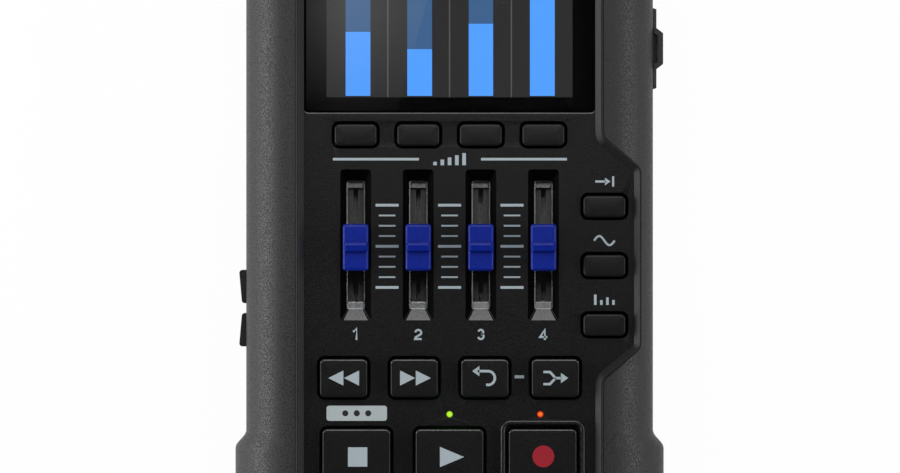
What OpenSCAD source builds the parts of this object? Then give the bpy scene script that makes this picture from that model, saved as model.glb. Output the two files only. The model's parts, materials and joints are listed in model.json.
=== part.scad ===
// Handheld four-track recorder, lying on its back with the controls facing up.
// Millimetres. X runs to the right, Y to the display end, Z out of the controls.
// The origin is on the resting surface, under the middle of the case.

/* [Case] */
// Length of the case beyond the panel's upper end
head_len = 13.1; // [12.5:0.1:16]
// Length of the case beyond the panel's lower end
foot_len = 33.1; // [32.5:0.1:38]
// Width of the case at the waist
waist_w = 67.4; // [67:0.2:69]
// Width of the case at the foot
foot_w = 71; // [70.6:0.2:74]
// Thickness of the case walls
wall = 2; // [1.8:0.1:2.2]
// Thickness of the head's end wall
head_wall = 4; // [3.6:0.2:5]
// Radius of the long edges on the back
back_edge_r = 4; // [3:0.5:4.5]
// Radius of the head's corners seen from the front
head_corner_r = 10; // [6:0.5:11]
// Radius of the head's front and back edges
head_edge_r = 6; // [3:0.5:6.5]
// Radius of the foot's corners seen from the front
foot_corner_r = 5; // [3:0.5:5.5]
// Radius of the foot's front and back edges
foot_edge_r = 1.8; // [1:0.2:2]
// Distance from the panel's lower end up to where the case starts to widen
flare_rise = 16.8; // [16:0.2:18]
// Length over which the case widens
flare_len = 2.9; // [2:0.1:4]

/* [Control panel] */
// Width of the panel over its rim
panel_w = 50.7; // [50:0.1:51]
// Thickness of the panel's plate
panel_t = 2; // [1.8:0.1:2.4]
// Height of the rim above the plate
rim_h = 0.9; // [0.6:0.1:1.2]
// Width of the rim's inner slope
rim_w = 1.35; // [1:0.05:1.4]
// Width of the rim's flat crest
crest_w = 0.25; // [0.2:0.05:0.4]
// How far the rim stands above the case
rim_proud = 0.3; // [0.1:0.1:0.5]
// Radius of the panel's outer corners
panel_corner_r = 3; // [2:0.5:4]
// Reach of the function key bay from the middle of the panel
bay_x = 31.75; // [31.6:0.05:31.9]
// Distance from the middle of the fader slots down to the middle of the bay
bay_drop = 2.2; // [1.7:0.1:2.7]
// Length of the bay where it leaves the panel
bay_root = 40.2; // [39:0.2:41]
// Length of the bay's straight edge
bay_edge = 29.7; // [29:0.1:30.5]
// Radius of the bay's corners
bay_corner_r = 2; // [1.6:0.1:2.5]
// Gap around the panel
panel_gap = 0.15; // [0.1:0.05:0.25]

/* [Display] */
// Width of the lens
lens_w = 47.9; // [47:0.1:48]
// Length of the lens
lens_len = 36.9; // [36:0.1:37.5]
// Distance from the panel's upper end down to the lens
lens_margin = 4.4; // [4:0.1:5]
// Thickness of the lens
lens_t = 1.2; // [1:0.1:1.3]
// Radius of the lens corners
lens_r = 0.7; // [0.4:0.1:1.2]
// Width of the window under the lens
window_w = 42.4; // [41:0.1:43]
// Length of the window under the lens
window_len = 32.2; // [31:0.1:33]
// Width of the display module
lcd_w = 45; // [44:0.5:46]
// Length of the display module
lcd_len = 35; // [34:0.5:36]
// Thickness of the display module
lcd_t = 3; // [2.4:0.1:3.4]

/* [Faders] */
// Distance between faders
fader_pitch = 10.35; // [10.2:0.05:10.5]
// Gap between the pots and the track keys' switches
pot_clear = 0.6; // [0.3:0.1:1]
// Full travel of a fader
fader_travel = 15; // [14:0.5:15.5]
// Place of the caps at rest, from the middle of the slot
cap_rest = -0.4; // [-4:0.1:4]
// Width of a slot's bevel at the panel's face
slot_w = 5; // [4.8:0.1:5.4]
// Length of a slot's bevel at the panel's face
slot_len = 24.9; // [24.5:0.1:25.5]
// Width of a slot below its bevel
slot_in_w = 3.05; // [2.8:0.05:3.3]
// Length of a slot below its bevel
slot_in_len = 21.3; // [21:0.1:22]
// Depth of a slot's bevel
slot_bevel = 0.95; // [0.8:0.05:1.4]
// Width of a cap
cap_w = 4.3; // [4:0.1:4.6]
// Length of a cap
cap_len = 7.8; // [7.4:0.1:8.2]
// Height of a cap's body
cap_h = 3.2; // [2.6:0.1:3.6]
// Height of the finger ridge across a cap
ridge_h = 1.2; // [0.8:0.1:1.6]
// Length of the finger ridge at its foot
ridge_len = 1.45; // [1.2:0.05:1.8]
// Clearance of a cap over the panel
cap_gap = 0.4; // [0.3:0.1:0.6]
// Width of a pot
pot_w = 9; // [8.6:0.1:9.2]
// Length of a pot
pot_len = 30; // [29.5:0.1:30.2]
// Height of a pot
pot_h = 7; // [6.6:0.1:8]
// Thickness of a pot's sheet metal
pot_t = 0.5; // [0.3:0.05:0.6]
// How far a pot's window lips reach in under the slot
pot_lip = 0.2; // [0.1:0.05:0.4]
// Thickness of a lever's blade
blade_t = 0.5; // [0.4:0.05:0.6]
// Length of a lever's blade along its travel
blade_len = 3; // [2.6:0.1:3.4]

/* [Keys] */
// Width of a track or function key
small_key_w = 6.95; // [6.6:0.05:7.1]
// Length of a track or function key
small_key_len = 3.58; // [3.4:0.02:3.8]
// Distance from the lens down to the middle of the track keys
track_key_drop = 3.8; // [3.6:0.1:4.4]
// Middle of the function keys from the middle of the panel
function_key_x = 25.6; // [25.4:0.1:25.7]
// Distance from the middle of the fader slots down to the middle function key
function_key_drop = 3.43; // [3.2:0.01:3.7]
// Distance between function keys
function_key_pitch = 9.78; // [9.5:0.02:10]
// Width of a row key
row_key_w = 7.85; // [7.6:0.05:8]
// Length of a row key
row_key_len = 6.3; // [6:0.1:6.5]
// Distance between row keys
row_key_pitch = 11.67; // [11.4:0.01:11.8]
// Gap between the pots and the row keys' switches
row_key_clear = 4.4; // [4:0.1:5]
// Width of a transport key
transport_key_w = 11.25; // [11:0.05:11.5]
// Length of a transport key
transport_key_len = 9.25; // [9:0.05:9.5]
// Distance between transport keys
transport_pitch = 15.4; // [15.2:0.1:15.6]
// Distance from the row keys down to the transport keys
transport_drop = 13.05; // [12.8:0.05:13.4]
// Distance from the middle of the transport keys to the panel's lower end
transport_margin = 12.45; // [12:0.05:13]
// How far small keys stand above the panel
small_key_proud = 1.1; // [0.9:0.1:1.4]
// How far row and transport keys stand above the panel
large_key_proud = 1.4; // [1.2:0.1:1.7]
// Gap around a key in its hole
key_gap = 0.42; // [0.35:0.01:0.5]
// How far a key's flange reaches under the panel
key_flange = 0.6; // [0.4:0.05:0.65]
// Thickness of a key's flange
flange_t = 0.8; // [0.6:0.1:1]
// Travel of a key
key_travel = 0.7; // [0.5:0.05:0.8]
// Width of the record key's guard at its foot
guard_w = 14.1; // [13.8:0.1:14.4]
// Length of the record key's guard at its foot
guard_len = 12.3; // [12:0.1:12.5]
// Height of the record key's guard
guard_h = 0.9; // [0.6:0.1:1.2]
// Thickness of the record key's guard
guard_t = 0.6; // [0.5:0.05:0.8]
// Radius of the guard's outer corners
guard_r = 1.8; // [1.4:0.1:2.4]
// Radius of an indicator light
led_r = 0.52; // [0.4:0.02:0.6]
// Distance from the transport keys up to the indicator lights
led_rise = 7.05; // [6.95:0.05:7.2]
// Place of the record light across the panel
record_led_x = 15; // [14.5:0.1:15.5]

/* [Side controls] */
// Height of the side controls above the parting of the shells
side_control_rise = 3; // [2.9:0.05:3.1]
// Distance from the middle of the fader slots down to the pair of volume keys
volume_drop = 10.47; // [10:0.01:11]
// Distance between the volume keys
volume_pitch = 7.16; // [7:0.02:7.6]
// Length of a volume key
volume_len = 5.54; // [5.2:0.02:5.7]
// Height of a volume key
volume_h = 4.2; // [3.8:0.1:4.4]
// How far a volume key's outer end stands out of the case
volume_proud = 1.2; // [1:0.05:1.3]
// How much less the inner end of a volume key stands out
volume_dip = 0.48; // [0.3:0.02:0.6]
// Travel of a volume key
volume_travel = 0.4; // [0.3:0.05:0.5]
// Distance from the middle of the lens down to the power slider
slider_drop = 7.9; // [7.5:0.1:8.5]
// Length of the slider's plate
slider_plate_len = 13.5; // [13:0.1:14]
// Height of the slider's plate
slider_plate_h = 4.2; // [4:0.1:4.6]
// How far the slider's plate stands out of the case
slider_plate_proud = 0.6; // [0.45:0.05:0.7]
// Length of the slider's knob
slider_knob_len = 6.73; // [6.4:0.01:7]
// Height of the slider's knob
slider_knob_h = 5.4; // [5.2:0.1:5.8]
// How far the slider's knob stands out of the case
slider_knob_proud = 1.7; // [1.5:0.05:1.75]
// Wall round the dip in the top of the slider's knob
slider_knob_wall = 0.8; // [0.6:0.05:0.9]
// Depth of that dip
slider_knob_dip = 0.9; // [0.5:0.1:1.2]
// Travel of the slider each way
slider_travel = 2; // [1.5:0.1:2.2]

/* [Power] */
// Diameter of a battery cell
cell_d = 14.2; // [14:0.1:14.5]
// Length of a battery cell over its nub
cell_len = 50.5; // [50:0.1:51]
// Space between battery cells
cell_space = 0.25; // [0.15:0.05:0.4]
// Length of a battery spring
spring_len = 2.7; // [2.2:0.1:3.2]
// Thickness of the battery compartment's walls
compartment_t = 1.2; // [1:0.1:1.4]
// Distance from the middle of the fader slots up to the middle of the battery compartment
compartment_rise = 6.9; // [6:0.1:8]
// Radius of the battery cover's hinge barrel
hinge_r = 2.4; // [2.2:0.1:2.6]
// Radius of the hinge pins
hinge_pin_r = 1; // [0.8:0.1:1.2]
// Width of the hinge barrel
hinge_w = 39.4; // [36:0.2:42]

/* [Boards and connectors] */
// Thickness of the circuit boards
board_t = 1.6; // [1.2:0.1:2]
// Width of the main board
board_w = 58; // [57.8:0.1:58.2]
// Distance from the panel's upper end down to the main board
board_margin = 3.4; // [2.5:0.1:4]
// Gap between the main board and the jack board
board_clear = 1.8; // [1:0.1:3]
// Space under the main board
board_gap = 1.4; // [1.2:0.1:2]
// Width of an input jack
jack_w = 25; // [24.6:0.1:25.2]
// Height of an input jack
jack_h = 24; // [23.6:0.1:24.2]
// Length of an input jack
jack_len = 30; // [29:0.1:30.2]
// Gap between an input jack and the screw post beside it
jack_clear = 0.8; // [0.7:0.05:1]
// Radius of the plug bore in an input jack
plug_r = 3.2; // [3.18:0.01:3.3]
// Radius of the round well in an input jack
well_r = 9.7; // [9.5:0.05:9.9]
// Radius of the contact block in an input jack
contact_block_r = 7.7; // [7.5:0.05:7.9]
// Gap between the headphone jack and the screw post above it
phones_clear = 1.4; // [1:0.1:2]
// Radius of the headphone jack's bore
phones_r = 1.8; // [1.76:0.01:1.85]

/* [Back] */
// Height of the rubber feet under the case
foot_h = 0.8; // [0.6:0.1:1.4]
// Radius of a rubber foot
foot_r = 4.5; // [4:0.1:5]
// Radius of the tripod thread's bore
tripod_r = 2.55; // [2.5:0.01:2.6]
// Length of the tripod thread
tripod_len = 8.5; // [7:0.5:9]
// Radius of the case screws
screw_r = 1.25; // [1.1:0.05:1.3]

/* [Hidden] */
$fn = 48;
track_count = 4;
tracks = [1:track_count];
function fader_node(kind) = [for (n = tracks) str(kind, "_", n)];
function_keys = ["input_key", "effect_key", "rhythm_key"];
row_keys = ["rewind_key", "forward_key", "undo_key", "bounce_key"];
transport_keys = ["stop_key", "play_key", "record_key"];

// Common clearances: a seat between resting faces, a sliding gap, and an overlap for joined solids
seat = 0.05;
slip = 0.2;
over = 0.5;
far = 100;

// Heights of the layers, from the back up
back_z = foot_h;
floor_z = back_z + wall;
cell_gap = 0.2;
cell_z = floor_z + cell_gap + cell_d / 2;
compartment_z = floor_z + cell_d + 2 * cell_gap;
parting_z = compartment_z;
board_z = compartment_z + compartment_t + board_gap;
board_top = board_z + board_t;
pot_top = board_top + pot_h;
panel_under = pot_top + slip;
panel_top = panel_under + panel_t;
rim_top = panel_top + rim_h;
case_top = rim_top - rim_proud;
ledge_t = 1.5;
ledge_z = panel_under - seat;
ceiling_z = ledge_z - ledge_t;
side_z = parting_z + side_control_rise;

// Places along the case, from its head down to its foot
switch_w = 5.2;
fader_drop = pot_len / 2 + pot_clear + switch_w / 2;
row_key_drop = pot_len / 2 + row_key_clear + switch_w / 2;
panel_len = lens_margin + lens_len + track_key_drop + fader_drop + row_key_drop + transport_drop
    + transport_margin;
body_len = head_len + panel_len + foot_len;
end_y = body_len / 2;
panel_high = end_y - head_len;
panel_low = -end_y + foot_len;
panel_y = (panel_high + panel_low) / 2;
lens_y = panel_high - lens_margin - lens_len / 2;
track_key_y = lens_y - lens_len / 2 - track_key_drop;
fader_y = track_key_y - fader_drop;
row_key_y = fader_y - row_key_drop;
transport_y = row_key_y - transport_drop;
function_key_y = fader_y - function_key_drop;
bay_y = fader_y - bay_drop;
led_y = transport_y + led_rise;
volume_y = fader_y - volume_drop;
slider_y = lens_y - slider_drop;
flare_y = panel_low + flare_rise;
compartment_y = fader_y + compartment_rise;

// Case edges: the grips round down from the panel's seam to the sides
seam_x = panel_w / 2 + panel_gap;
grip_r = waist_w / 2 - seam_x;
waist_x = waist_w / 2;
foot_x = foot_w / 2;
inner_x = waist_x - wall;
arc_steps = 8;
end_steps = 6;
flare_steps = 6;

function ease(t) = t <= 0 ? 0 : t >= 1 ? 1 : t * t * (3 - 2 * t);
function drawn_in(r, d) = d <= 0 ? 0 : r - sqrt(max(r * r - d * d, 0));
function past_end(y, r) = abs(y) - (end_y - r);
function corner_r(y) = y > 0 ? head_corner_r : foot_corner_r;
function edge_r(y) = y > 0 ? head_edge_r : foot_edge_r;
function side_x(y) = waist_x + (foot_x - waist_x) * ease((flare_y - y) / flare_len);
function half_w(y) = side_x(y) - drawn_in(corner_r(y), past_end(y, corner_r(y)));
function edge_drop(y) = drawn_in(edge_r(y), past_end(y, edge_r(y)));
function grip_inside(z) = seam_x + sqrt(pow(grip_r - wall, 2) - pow(z - case_top + grip_r, 2));

// Places of the case's cross-sections: round foot end, flare, round head end
stations = concat(
    [for (i = [0:end_steps]) -end_y + foot_corner_r * (1 - cos(90 * i / end_steps))],
    [for (i = [flare_steps:-1:0]) flare_y - flare_len * i / flare_steps],
    [for (i = [0:end_steps]) end_y - head_corner_r * (1 - sin(90 * i / end_steps))]);

// Cross-section of the front half: straight sides that round over into the face
function front_section(y) =
    let (a = half_w(y), r = side_x(y) - seam_x, top = case_top - edge_drop(y))
    let (arc = [for (i = [0:arc_steps]) let (q = 90 * i / arc_steps)
        [a - r + r * cos(q), y, top - r + r * sin(q)]])
    concat([[-a, y, parting_z]], [for (p = arc) [-p[0], y, p[2]]],
        [for (i = [arc_steps:-1:0]) arc[i]], [[a, y, parting_z]]);

// Cross-section of the rear half: straight sides with rounded long edges and a flat back
function rear_section(y) =
    let (a = half_w(y), r = back_edge_r, low = back_z + edge_drop(y))
    let (arc = [for (i = [0:arc_steps]) let (q = 90 * i / arc_steps)
        [a - r + r * cos(q), y, low + r - r * sin(q)]])
    concat([[-a, y, parting_z], [a, y, parting_z]], arc,
        [for (i = [arc_steps:-1:0]) [-arc[i][0], y, arc[i][2]]]);

// Solid through a row of like rings of points. Rings with notches are closed about their middles.
function middle(ring) = [for (k = [0:2]) let (v = [for (p = ring) p[k]]) (min(v) + max(v)) / 2];
module loft(rings, notched = false) {
    n = len(rings[0]);
    last = (len(rings) - 1) * n;
    hub = len(rings) * n;
    sides = [for (j = [0:len(rings) - 2], i = [0:n - 1])
        let (a = j * n + i, b = j * n + (i + 1) % n)
        each [[a, a + n, b], [b, a + n, b + n]]];
    flat_ends = [[for (i = [0:n - 1]) i], [for (i = [n - 1:-1:0]) last + i]];
    fan_ends = [for (i = [0:n - 1]) let (k = (i + 1) % n) each [[hub, i, k], [hub + 1, last + k, last + i]]];
    hubs = notched ? [middle(rings[0]), middle(rings[len(rings) - 1])] : [];
    polyhedron(concat([for (ring = rings) each ring], hubs), concat(sides, notched ? fan_ends : flat_ends));
}

// Outline with rounded corners from [x, y, radius] points
function unit(v) = v / norm(v);
function xy(p) = [p[0], p[1]];
function wrap(angle) = angle > 180 ? angle - 360 : angle < -180 ? angle + 360 : angle;
function rounded(corners, steps) =
    let (n = len(corners))
    [for (i = [0:n - 1])
        let (c = corners[i])
        let (u = unit(xy(corners[(i + n - 1) % n]) - xy(c)), v = unit(xy(corners[(i + 1) % n]) - xy(c)))
        let (half = acos(u * v) / 2)
        let (mid = xy(c) + unit(u + v) * c[2] / sin(half))
        let (start = xy(c) + u * c[2] / tan(half) - mid, stop = xy(c) + v * c[2] / tan(half) - mid)
        let (from = atan2(start[1], start[0]), turn = wrap(atan2(stop[1], stop[0]) - from))
        for (k = [0:steps]) mid + c[2] * [cos(from + turn * k / steps), sin(from + turn * k / steps)]];

// The same corners moved in by a distance, with round corners kept parallel
function side_normal(p, q) = let (e = unit(xy(q) - xy(p))) [-e[1], e[0]];
function inset(corners, d) =
    let (n = len(corners))
    [for (i = [0:n - 1])
        let (c = corners[i])
        let (a = side_normal(corners[(i + n - 1) % n], c), b = side_normal(c, corners[(i + 1) % n]))
        let (p = xy(c) + (a + b) * d / (1 + a * b))
        [p[0], p[1], c[2] - (a[0] * b[1] - a[1] * b[0] > 0 ? d : -d)]];

function box_corners(w, len, r) =
    [[-w / 2, -len / 2, r], [w / 2, -len / 2, r], [w / 2, len / 2, r], [-w / 2, len / 2, r]];

corner_steps = 4;

// Flat plate with round corners
module plate(w, len, r, h) {
    linear_extrude(h) {
        square([w - 2 * r, len], center = true);
        square([w, len - 2 * r], center = true);
        for (x = [-1, 1], y = [-1, 1])
            translate([x * (w / 2 - r), y * (len / 2 - r)]) circle(r);
    }
}

// Round-cornered ring of points at a height
function ring(corners, z, shift = 0) = [for (p = rounded(corners, corner_steps)) [p[0], p[1] + shift, z]];

// Block with round corners and a rounded top edge
module pillow(w, len, r, h, bevel) {
    edge_steps = 3;
    levels = concat([[0, 0]], [for (i = [0:edge_steps]) let (q = 90 * i / edge_steps)
        [h - bevel + bevel * sin(q), bevel * (1 - cos(q))]]);
    loft([for (level = levels) ring(inset(box_corners(w, len, r), level[1]), level[0])]);
}

// Block with round corners whose faces slope from one size to another
module tapered(low, high, h, shift = 0) {
    loft([ring(low, 0), ring(high, h, shift)]);
}

module along_x(length) { rotate([90, 0, 90]) translate([0, 0, -length / 2]) children(); }

// Box between three spans
function span(mid, half) = [mid - half, mid + half];
module box(x, y, z) {
    translate([x[0], y[0], z[0]]) cube([x[1] - x[0], y[1] - y[0], z[1] - z[0]]);
}

// Outline of the control panel: a long plate with the function key bay on its right
panel_corners = [
    [-panel_w / 2, panel_y - panel_len / 2, panel_corner_r],
    [panel_w / 2, panel_y - panel_len / 2, panel_corner_r],
    [panel_w / 2, bay_y - bay_root / 2, bay_corner_r],
    [bay_x, bay_y - bay_edge / 2, bay_corner_r],
    [bay_x, bay_y + bay_edge / 2, bay_corner_r],
    [panel_w / 2, bay_y + bay_root / 2, bay_corner_r],
    [panel_w / 2, panel_y + panel_len / 2, panel_corner_r],
    [-panel_w / 2, panel_y + panel_len / 2, panel_corner_r]];
function panel_outline(d) = rounded(inset(panel_corners, d), corner_steps);

// Faders
slot_r = 0.4;
slot_face_r = 0.5;
function fader_x(n) = (n - (track_count + 1) / 2) * fader_pitch;
cap_y = fader_y + cap_rest;

// Keys: where each stands, and its size
small_key = [small_key_w, small_key_len, small_key_proud];
row_key = [row_key_w, row_key_len, large_key_proud];
transport_key = [transport_key_w, transport_key_len, large_key_proud];
function track_key_at(n) = [fader_x(n), track_key_y];
function function_key_at(i) = [function_key_x, function_key_y + (1 - i) * function_key_pitch];
function row_key_at(i) = [(i - 1.5) * row_key_pitch, row_key_y];
function transport_key_at(i) = [(i - 1) * transport_pitch, transport_y];
keys = concat(
    [for (n = tracks) [track_key_at(n), small_key]],
    [for (i = [0:2]) [function_key_at(i), small_key]],
    [for (i = [0:3]) [row_key_at(i), row_key]],
    [for (i = [0:2]) [transport_key_at(i), transport_key]]);
key_corner_r = 0.8;
key_bevel = 0.5;
switch_h = 3.4;
plunger_r = 1.6;
plunger_h = 0.9;
plunger_top = board_top + switch_h + plunger_h;
stem_r = 1.5;
stem_gap = 0.15;
guard_at = transport_key_at(2);
guard_draft = 0.1;

// Side controls
volume_flange = 0.5;
slider_knob_slope = 0.8;
slider_stem_reach = 1;
slider_stem_len = 2.4;
slider_stem_h = 1.6;
slider_at = [waist_x, slider_y, side_z];
slider_seat = 0.8;
plate_corner_r = 0.8;
plate_draft = 0.2;

// Battery compartment and its cover
contact_t = 0.4;
cell_pitch = cell_d + cell_space;
compartment_w = track_count * cell_pitch + cell_gap;
compartment_len = cell_len + spring_len + 2 * contact_t + 2 * seat;
compartment_low = compartment_y - compartment_len / 2;
compartment_high = compartment_y + compartment_len / 2;
hinge_gap = 0.3;
hinge_fit = 0.05;
hinge_pin_len = 2.4;
hinge_y = compartment_high + compartment_t + hinge_gap + hinge_r;
hinge_z = back_z + hinge_r;
ear_w = 4;
latch_lip = 1.5;
cover_t = wall;

// Screws join the shells through posts
post_r = 3.2;
post_set_in = 1;
head_screw_drop = 7.4;
waist_screw_rise = 1.6;
foot_screw_rise = 16.5;
screw_x = inner_x - post_r - post_set_in;
head_screw_y = panel_high - head_screw_drop;
waist_screw_y = flare_y + waist_screw_rise;
foot_screw_y = -end_y + foot_screw_rise;
screw_at = [[-screw_x, head_screw_y], [screw_x, head_screw_y], [-screw_x, waist_screw_y],
    [screw_x, waist_screw_y], [0, foot_screw_y]];
screw_head_r = 2.4;
screw_head_h = 1.6;
screw_seat_z = floor_z + wall;
screw_grip = 7;
screw_fit = 0.05;

// Input jacks in the foot
jack_gap = 0.15;
jack_x = post_r + jack_clear + jack_w / 2;
jack_z = floor_z + jack_gap + seat + jack_h / 2;
jack_front = -end_y + 0.1;
jack_plate_t = wall;
jack_shoulder = 0.5;
jack_back = jack_front + jack_len;
well_depth = 11;
contact_block_back = 1;
plug_depth = 22;
pin_hole_r = 1.25;
pin_circle_r = 5.35;
pin_depth = 8;

// Main board and its supports
board_high = panel_high - board_margin;
board_low = jack_back + board_t + board_clear;
board_len = board_high - board_low;
board_y = (board_high + board_low) / 2;
board_post_r = 2.5;
high_post_x = 22;
high_post_drop = 10;
low_post_x = 12;
low_post_rise = 4;
board_posts = concat([for (s = [-1, 1]) [s * high_post_x, board_high - high_post_drop]],
    [for (s = [-1, 1]) [s * low_post_x, board_low + low_post_rise]]);

// Connectors on the sides
usb_w = 8.94;
usb_h = 3.26;
usb_len = 9.4;
usb_t = 0.3;
usb_tongue_t = 0.7;
usb_z = board_top + usb_h / 2;
usb_y = board_low + usb_w / 2 + seat;
usb_set_in = 0.3;
usb_mouth = foot_x - usb_set_in;
phones_w = 6.4;
phones_h = 5.2;
phones_y = head_screw_y - post_r - phones_clear - phones_w / 2;
phones_nose_r = 2.6;
phones_z = board_top + phones_h / 2;
phones_set_in = 0.35;
phones_mouth = waist_x - phones_set_in;
phones_end_t = 1;
phones_body_x = grip_inside(board_top + phones_h) - slip;
phones_len = phones_body_x - lcd_w / 2 - slip;
phones_depth = phones_mouth - phones_body_x + phones_len - phones_end_t;
card_w = 14;
card_len = 13;
card_h = 1.8;
card_slot_w = 11.6;
card_slot_h = 1.1;
card_z = board_z - card_h / 2;
card_set_in = 2.5;
card_mouth = foot_x - card_set_in;
card_y = board_low + card_w / 2;

// Microphones in the head
mic_x = 12.5;
mic_z = parting_z + 4.2;
mic_r = 2.7;
mic_len = 3.8;
grille_w = 19;
grille_h = 5.2;
grille_t = 0.8;
grille_r = 1;
grille_hole_r = 0.55;
grille_hole_pitch = 1.7;

// Back fittings
foot_sink = 0.5;
foot_x_at = 25;
foot_drop = 12;
foot_rise = 9.5;
foot_y_at = [end_y - foot_drop, -end_y + foot_rise];
insert_r = 4.4;
insert_rise = 15.4;
insert_at = [0, jack_back + insert_rise];
boss_r = 6.2;

// Colours of the finishes
grip_colour = "#48484b";
panel_colour = "#222225";
key_colour = "#2a2a2d";
cap_colour = "#0f2696";
metal_colour = "#a9adb3";
black_colour = "#151517";
board_colour = "#1f5138";

// Inside outline of the case in plan, and the hollow's cross-sections
plan_corners = [
    [-inner_x, -end_y + wall, foot_corner_r - wall], [inner_x, -end_y + wall, foot_corner_r - wall],
    [inner_x, end_y - head_wall, head_corner_r - wall],
    [-inner_x, end_y - head_wall, head_corner_r - wall]];
grip_turn = asin((ceiling_z - case_top + grip_r) / (grip_r - wall));
front_hollow_right = [for (i = [0:corner_steps]) let (q = grip_turn * i / corner_steps)
    [seam_x + (grip_r - wall) * cos(q), case_top - grip_r + (grip_r - wall) * sin(q)]];
front_hollow = concat([[inner_x, parting_z - over]], front_hollow_right,
    [for (i = [corner_steps:-1:0]) [-front_hollow_right[i][0], front_hollow_right[i][1]]],
    [[-inner_x, parting_z - over]]);
rear_turn = back_edge_r - wall / 2;
rear_hollow = [
    [-inner_x, parting_z + over], [-inner_x, floor_z + rear_turn], [-inner_x + rear_turn, floor_z],
    [inner_x - rear_turn, floor_z], [inner_x, floor_z + rear_turn], [inner_x, parting_z + over]];

module hollow(section) {
    intersection() {
        rotate([90, 0, 0]) linear_extrude(body_len, center = true) polygon(section);
        linear_extrude(far) polygon(rounded(plan_corners, corner_steps));
    }
}

module panel_prism(d, low, high) {
    translate([0, 0, low]) linear_extrude(high - low) polygon(panel_outline(d));
}

// Openings that the side controls and connectors need in the front shell
module side_openings() {
    for (s = [-1, 1])
        box([-far, -inner_x + seat], span(volume_y + s * volume_pitch / 2, volume_len / 2 + slip),
            span(side_z, volume_h / 2 + slip));
    translate(slider_at - [slider_seat, 0, 0]) rotate([90, 0, 90])
        plate(slider_plate_len + 2 * seat, slider_plate_h + 2 * seat, plate_corner_r + seat, far);
    box([inner_x - over, far], span(slider_y, slider_stem_len / 2 + slider_travel + slip),
        span(side_z, slider_stem_h / 2 + slip));
    translate([inner_x - over, usb_y, usb_z]) rotate([90, 0, 90])
        plate(usb_w + 2 * slip, usb_h + 2 * slip, usb_h / 2, far);
    box([-card_mouth - seat, -inner_x + over], span(card_y, card_w / 2 + slip),
        span(card_z, card_h / 2 + slip));
    box([-far, -inner_x], span(card_y, card_slot_w / 2), span(card_z, card_slot_h / 2));
    translate([-inner_x, phones_y, phones_z]) rotate([0, -90, 0])
        cylinder(r = phones_nose_r + slip, h = 4 * wall, center = true);
}

module jack_openings() {
    for (s = [-1, 1])
        box(span(s * jack_x, jack_w / 2 + jack_gap), [-far, jack_back + slip],
            span(jack_z, jack_h / 2 + jack_gap));
}

module mic_openings() {
    for (s = [-1, 1]) translate([s * mic_x, end_y, mic_z]) rotate([90, 0, 0]) {
        translate([0, 0, -over]) plate(grille_w + slip, grille_h + slip, grille_r, grille_t + over);
        cylinder(r = mic_r + slip, h = head_wall + over);
    }
}

module front_shell() {
    color(grip_colour) difference() {
        union() {
            difference() {
                loft([for (y = stations) front_section(y)]);
                hollow(front_hollow);
            }
            for (at = screw_at) translate([at[0], at[1], parting_z])
                cylinder(r = post_r, h = ceiling_z - parting_z + over);
        }
        panel_prism(-panel_gap, ledge_z, far);
        panel_prism(rim_w, ceiling_z - over, far);
        for (at = screw_at) translate([at[0], at[1], parting_z - over])
            cylinder(r = screw_r + screw_fit, h = screw_grip + 2 * over);
        side_openings();
        jack_openings();
        mic_openings();
    }
}

module hinge_pocket() {
    half = hinge_w / 2 + hinge_gap;
    box([-half, half], [compartment_high - over, hinge_y], [-far, floor_z + slip]);
    box([-half, half], [compartment_high + compartment_t, hinge_y + hinge_r + hinge_gap],
        [-far, hinge_z + hinge_r + hinge_gap]);
    translate([0, hinge_y, hinge_z])
        along_x(hinge_w + 2 * hinge_pin_len + 2 * hinge_gap)
            cylinder(r = hinge_pin_r + hinge_fit, h = hinge_w + 2 * hinge_pin_len + 2 * hinge_gap);
}

module compartment_space() {
    box(span(0, compartment_w / 2), [compartment_low, compartment_high], [-far, compartment_z]);
    box(span(0, compartment_w / 2), [compartment_low - latch_lip, compartment_high],
        [-far, back_z + cover_t / 2]);
}

module rear_shell() {
    color(grip_colour) difference() {
        union() {
            difference() {
                loft([for (y = stations) rear_section(y)]);
                hollow(rear_hollow);
            }
            box(span(0, compartment_w / 2 + compartment_t),
                [compartment_low - compartment_t, compartment_high + compartment_t],
                [floor_z - over, compartment_z + compartment_t]);
            for (s = [-1, 1]) box(span(s * (hinge_w / 2 + hinge_gap + ear_w / 2), ear_w / 2),
                span(hinge_y, hinge_r + hinge_gap), [floor_z - over, hinge_z + hinge_r]);
            for (at = screw_at) translate([at[0], at[1], floor_z - over])
                cylinder(r = post_r, h = parting_z - floor_z + over);
            for (at = board_posts) translate([at[0], at[1], floor_z - over])
                cylinder(r = board_post_r, h = board_z - floor_z + over - seat);
            translate([insert_at[0], insert_at[1], floor_z - over])
                cylinder(r = boss_r, h = tripod_len + over);
        }
        compartment_space();
        hinge_pocket();
        for (at = screw_at) translate([at[0], at[1], 0]) {
            cylinder(r = screw_r + screw_fit, h = far);
            cylinder(r = screw_head_r + slip, h = screw_seat_z);
        }
        for (x = [-1, 1], y = foot_y_at) translate([x * foot_x_at, y, 0])
            cylinder(r = foot_r + seat, h = back_z + foot_sink);
        translate([insert_at[0], insert_at[1], 0]) cylinder(r = insert_r + seat, h = back_z + tripod_len);
        jack_openings();
    }
}

module key_hole(at, size) {
    translate([at[0], at[1], panel_under - over])
        plate(size[0] + 2 * key_gap, size[1] + 2 * key_gap, key_corner_r + key_gap, far);
}

// Slot: straight below, then a bevel that opens to the panel's face
module fader_slot(n) {
    below = box_corners(slot_in_w, slot_in_len, slot_r);
    face = box_corners(slot_w, slot_len, slot_face_r);
    translate([fader_x(n), fader_y, 0])
        loft([ring(below, panel_under - over), ring(below, panel_top - slot_bevel),
            ring(face, panel_top), ring(face, panel_top + over)]);
}

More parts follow.
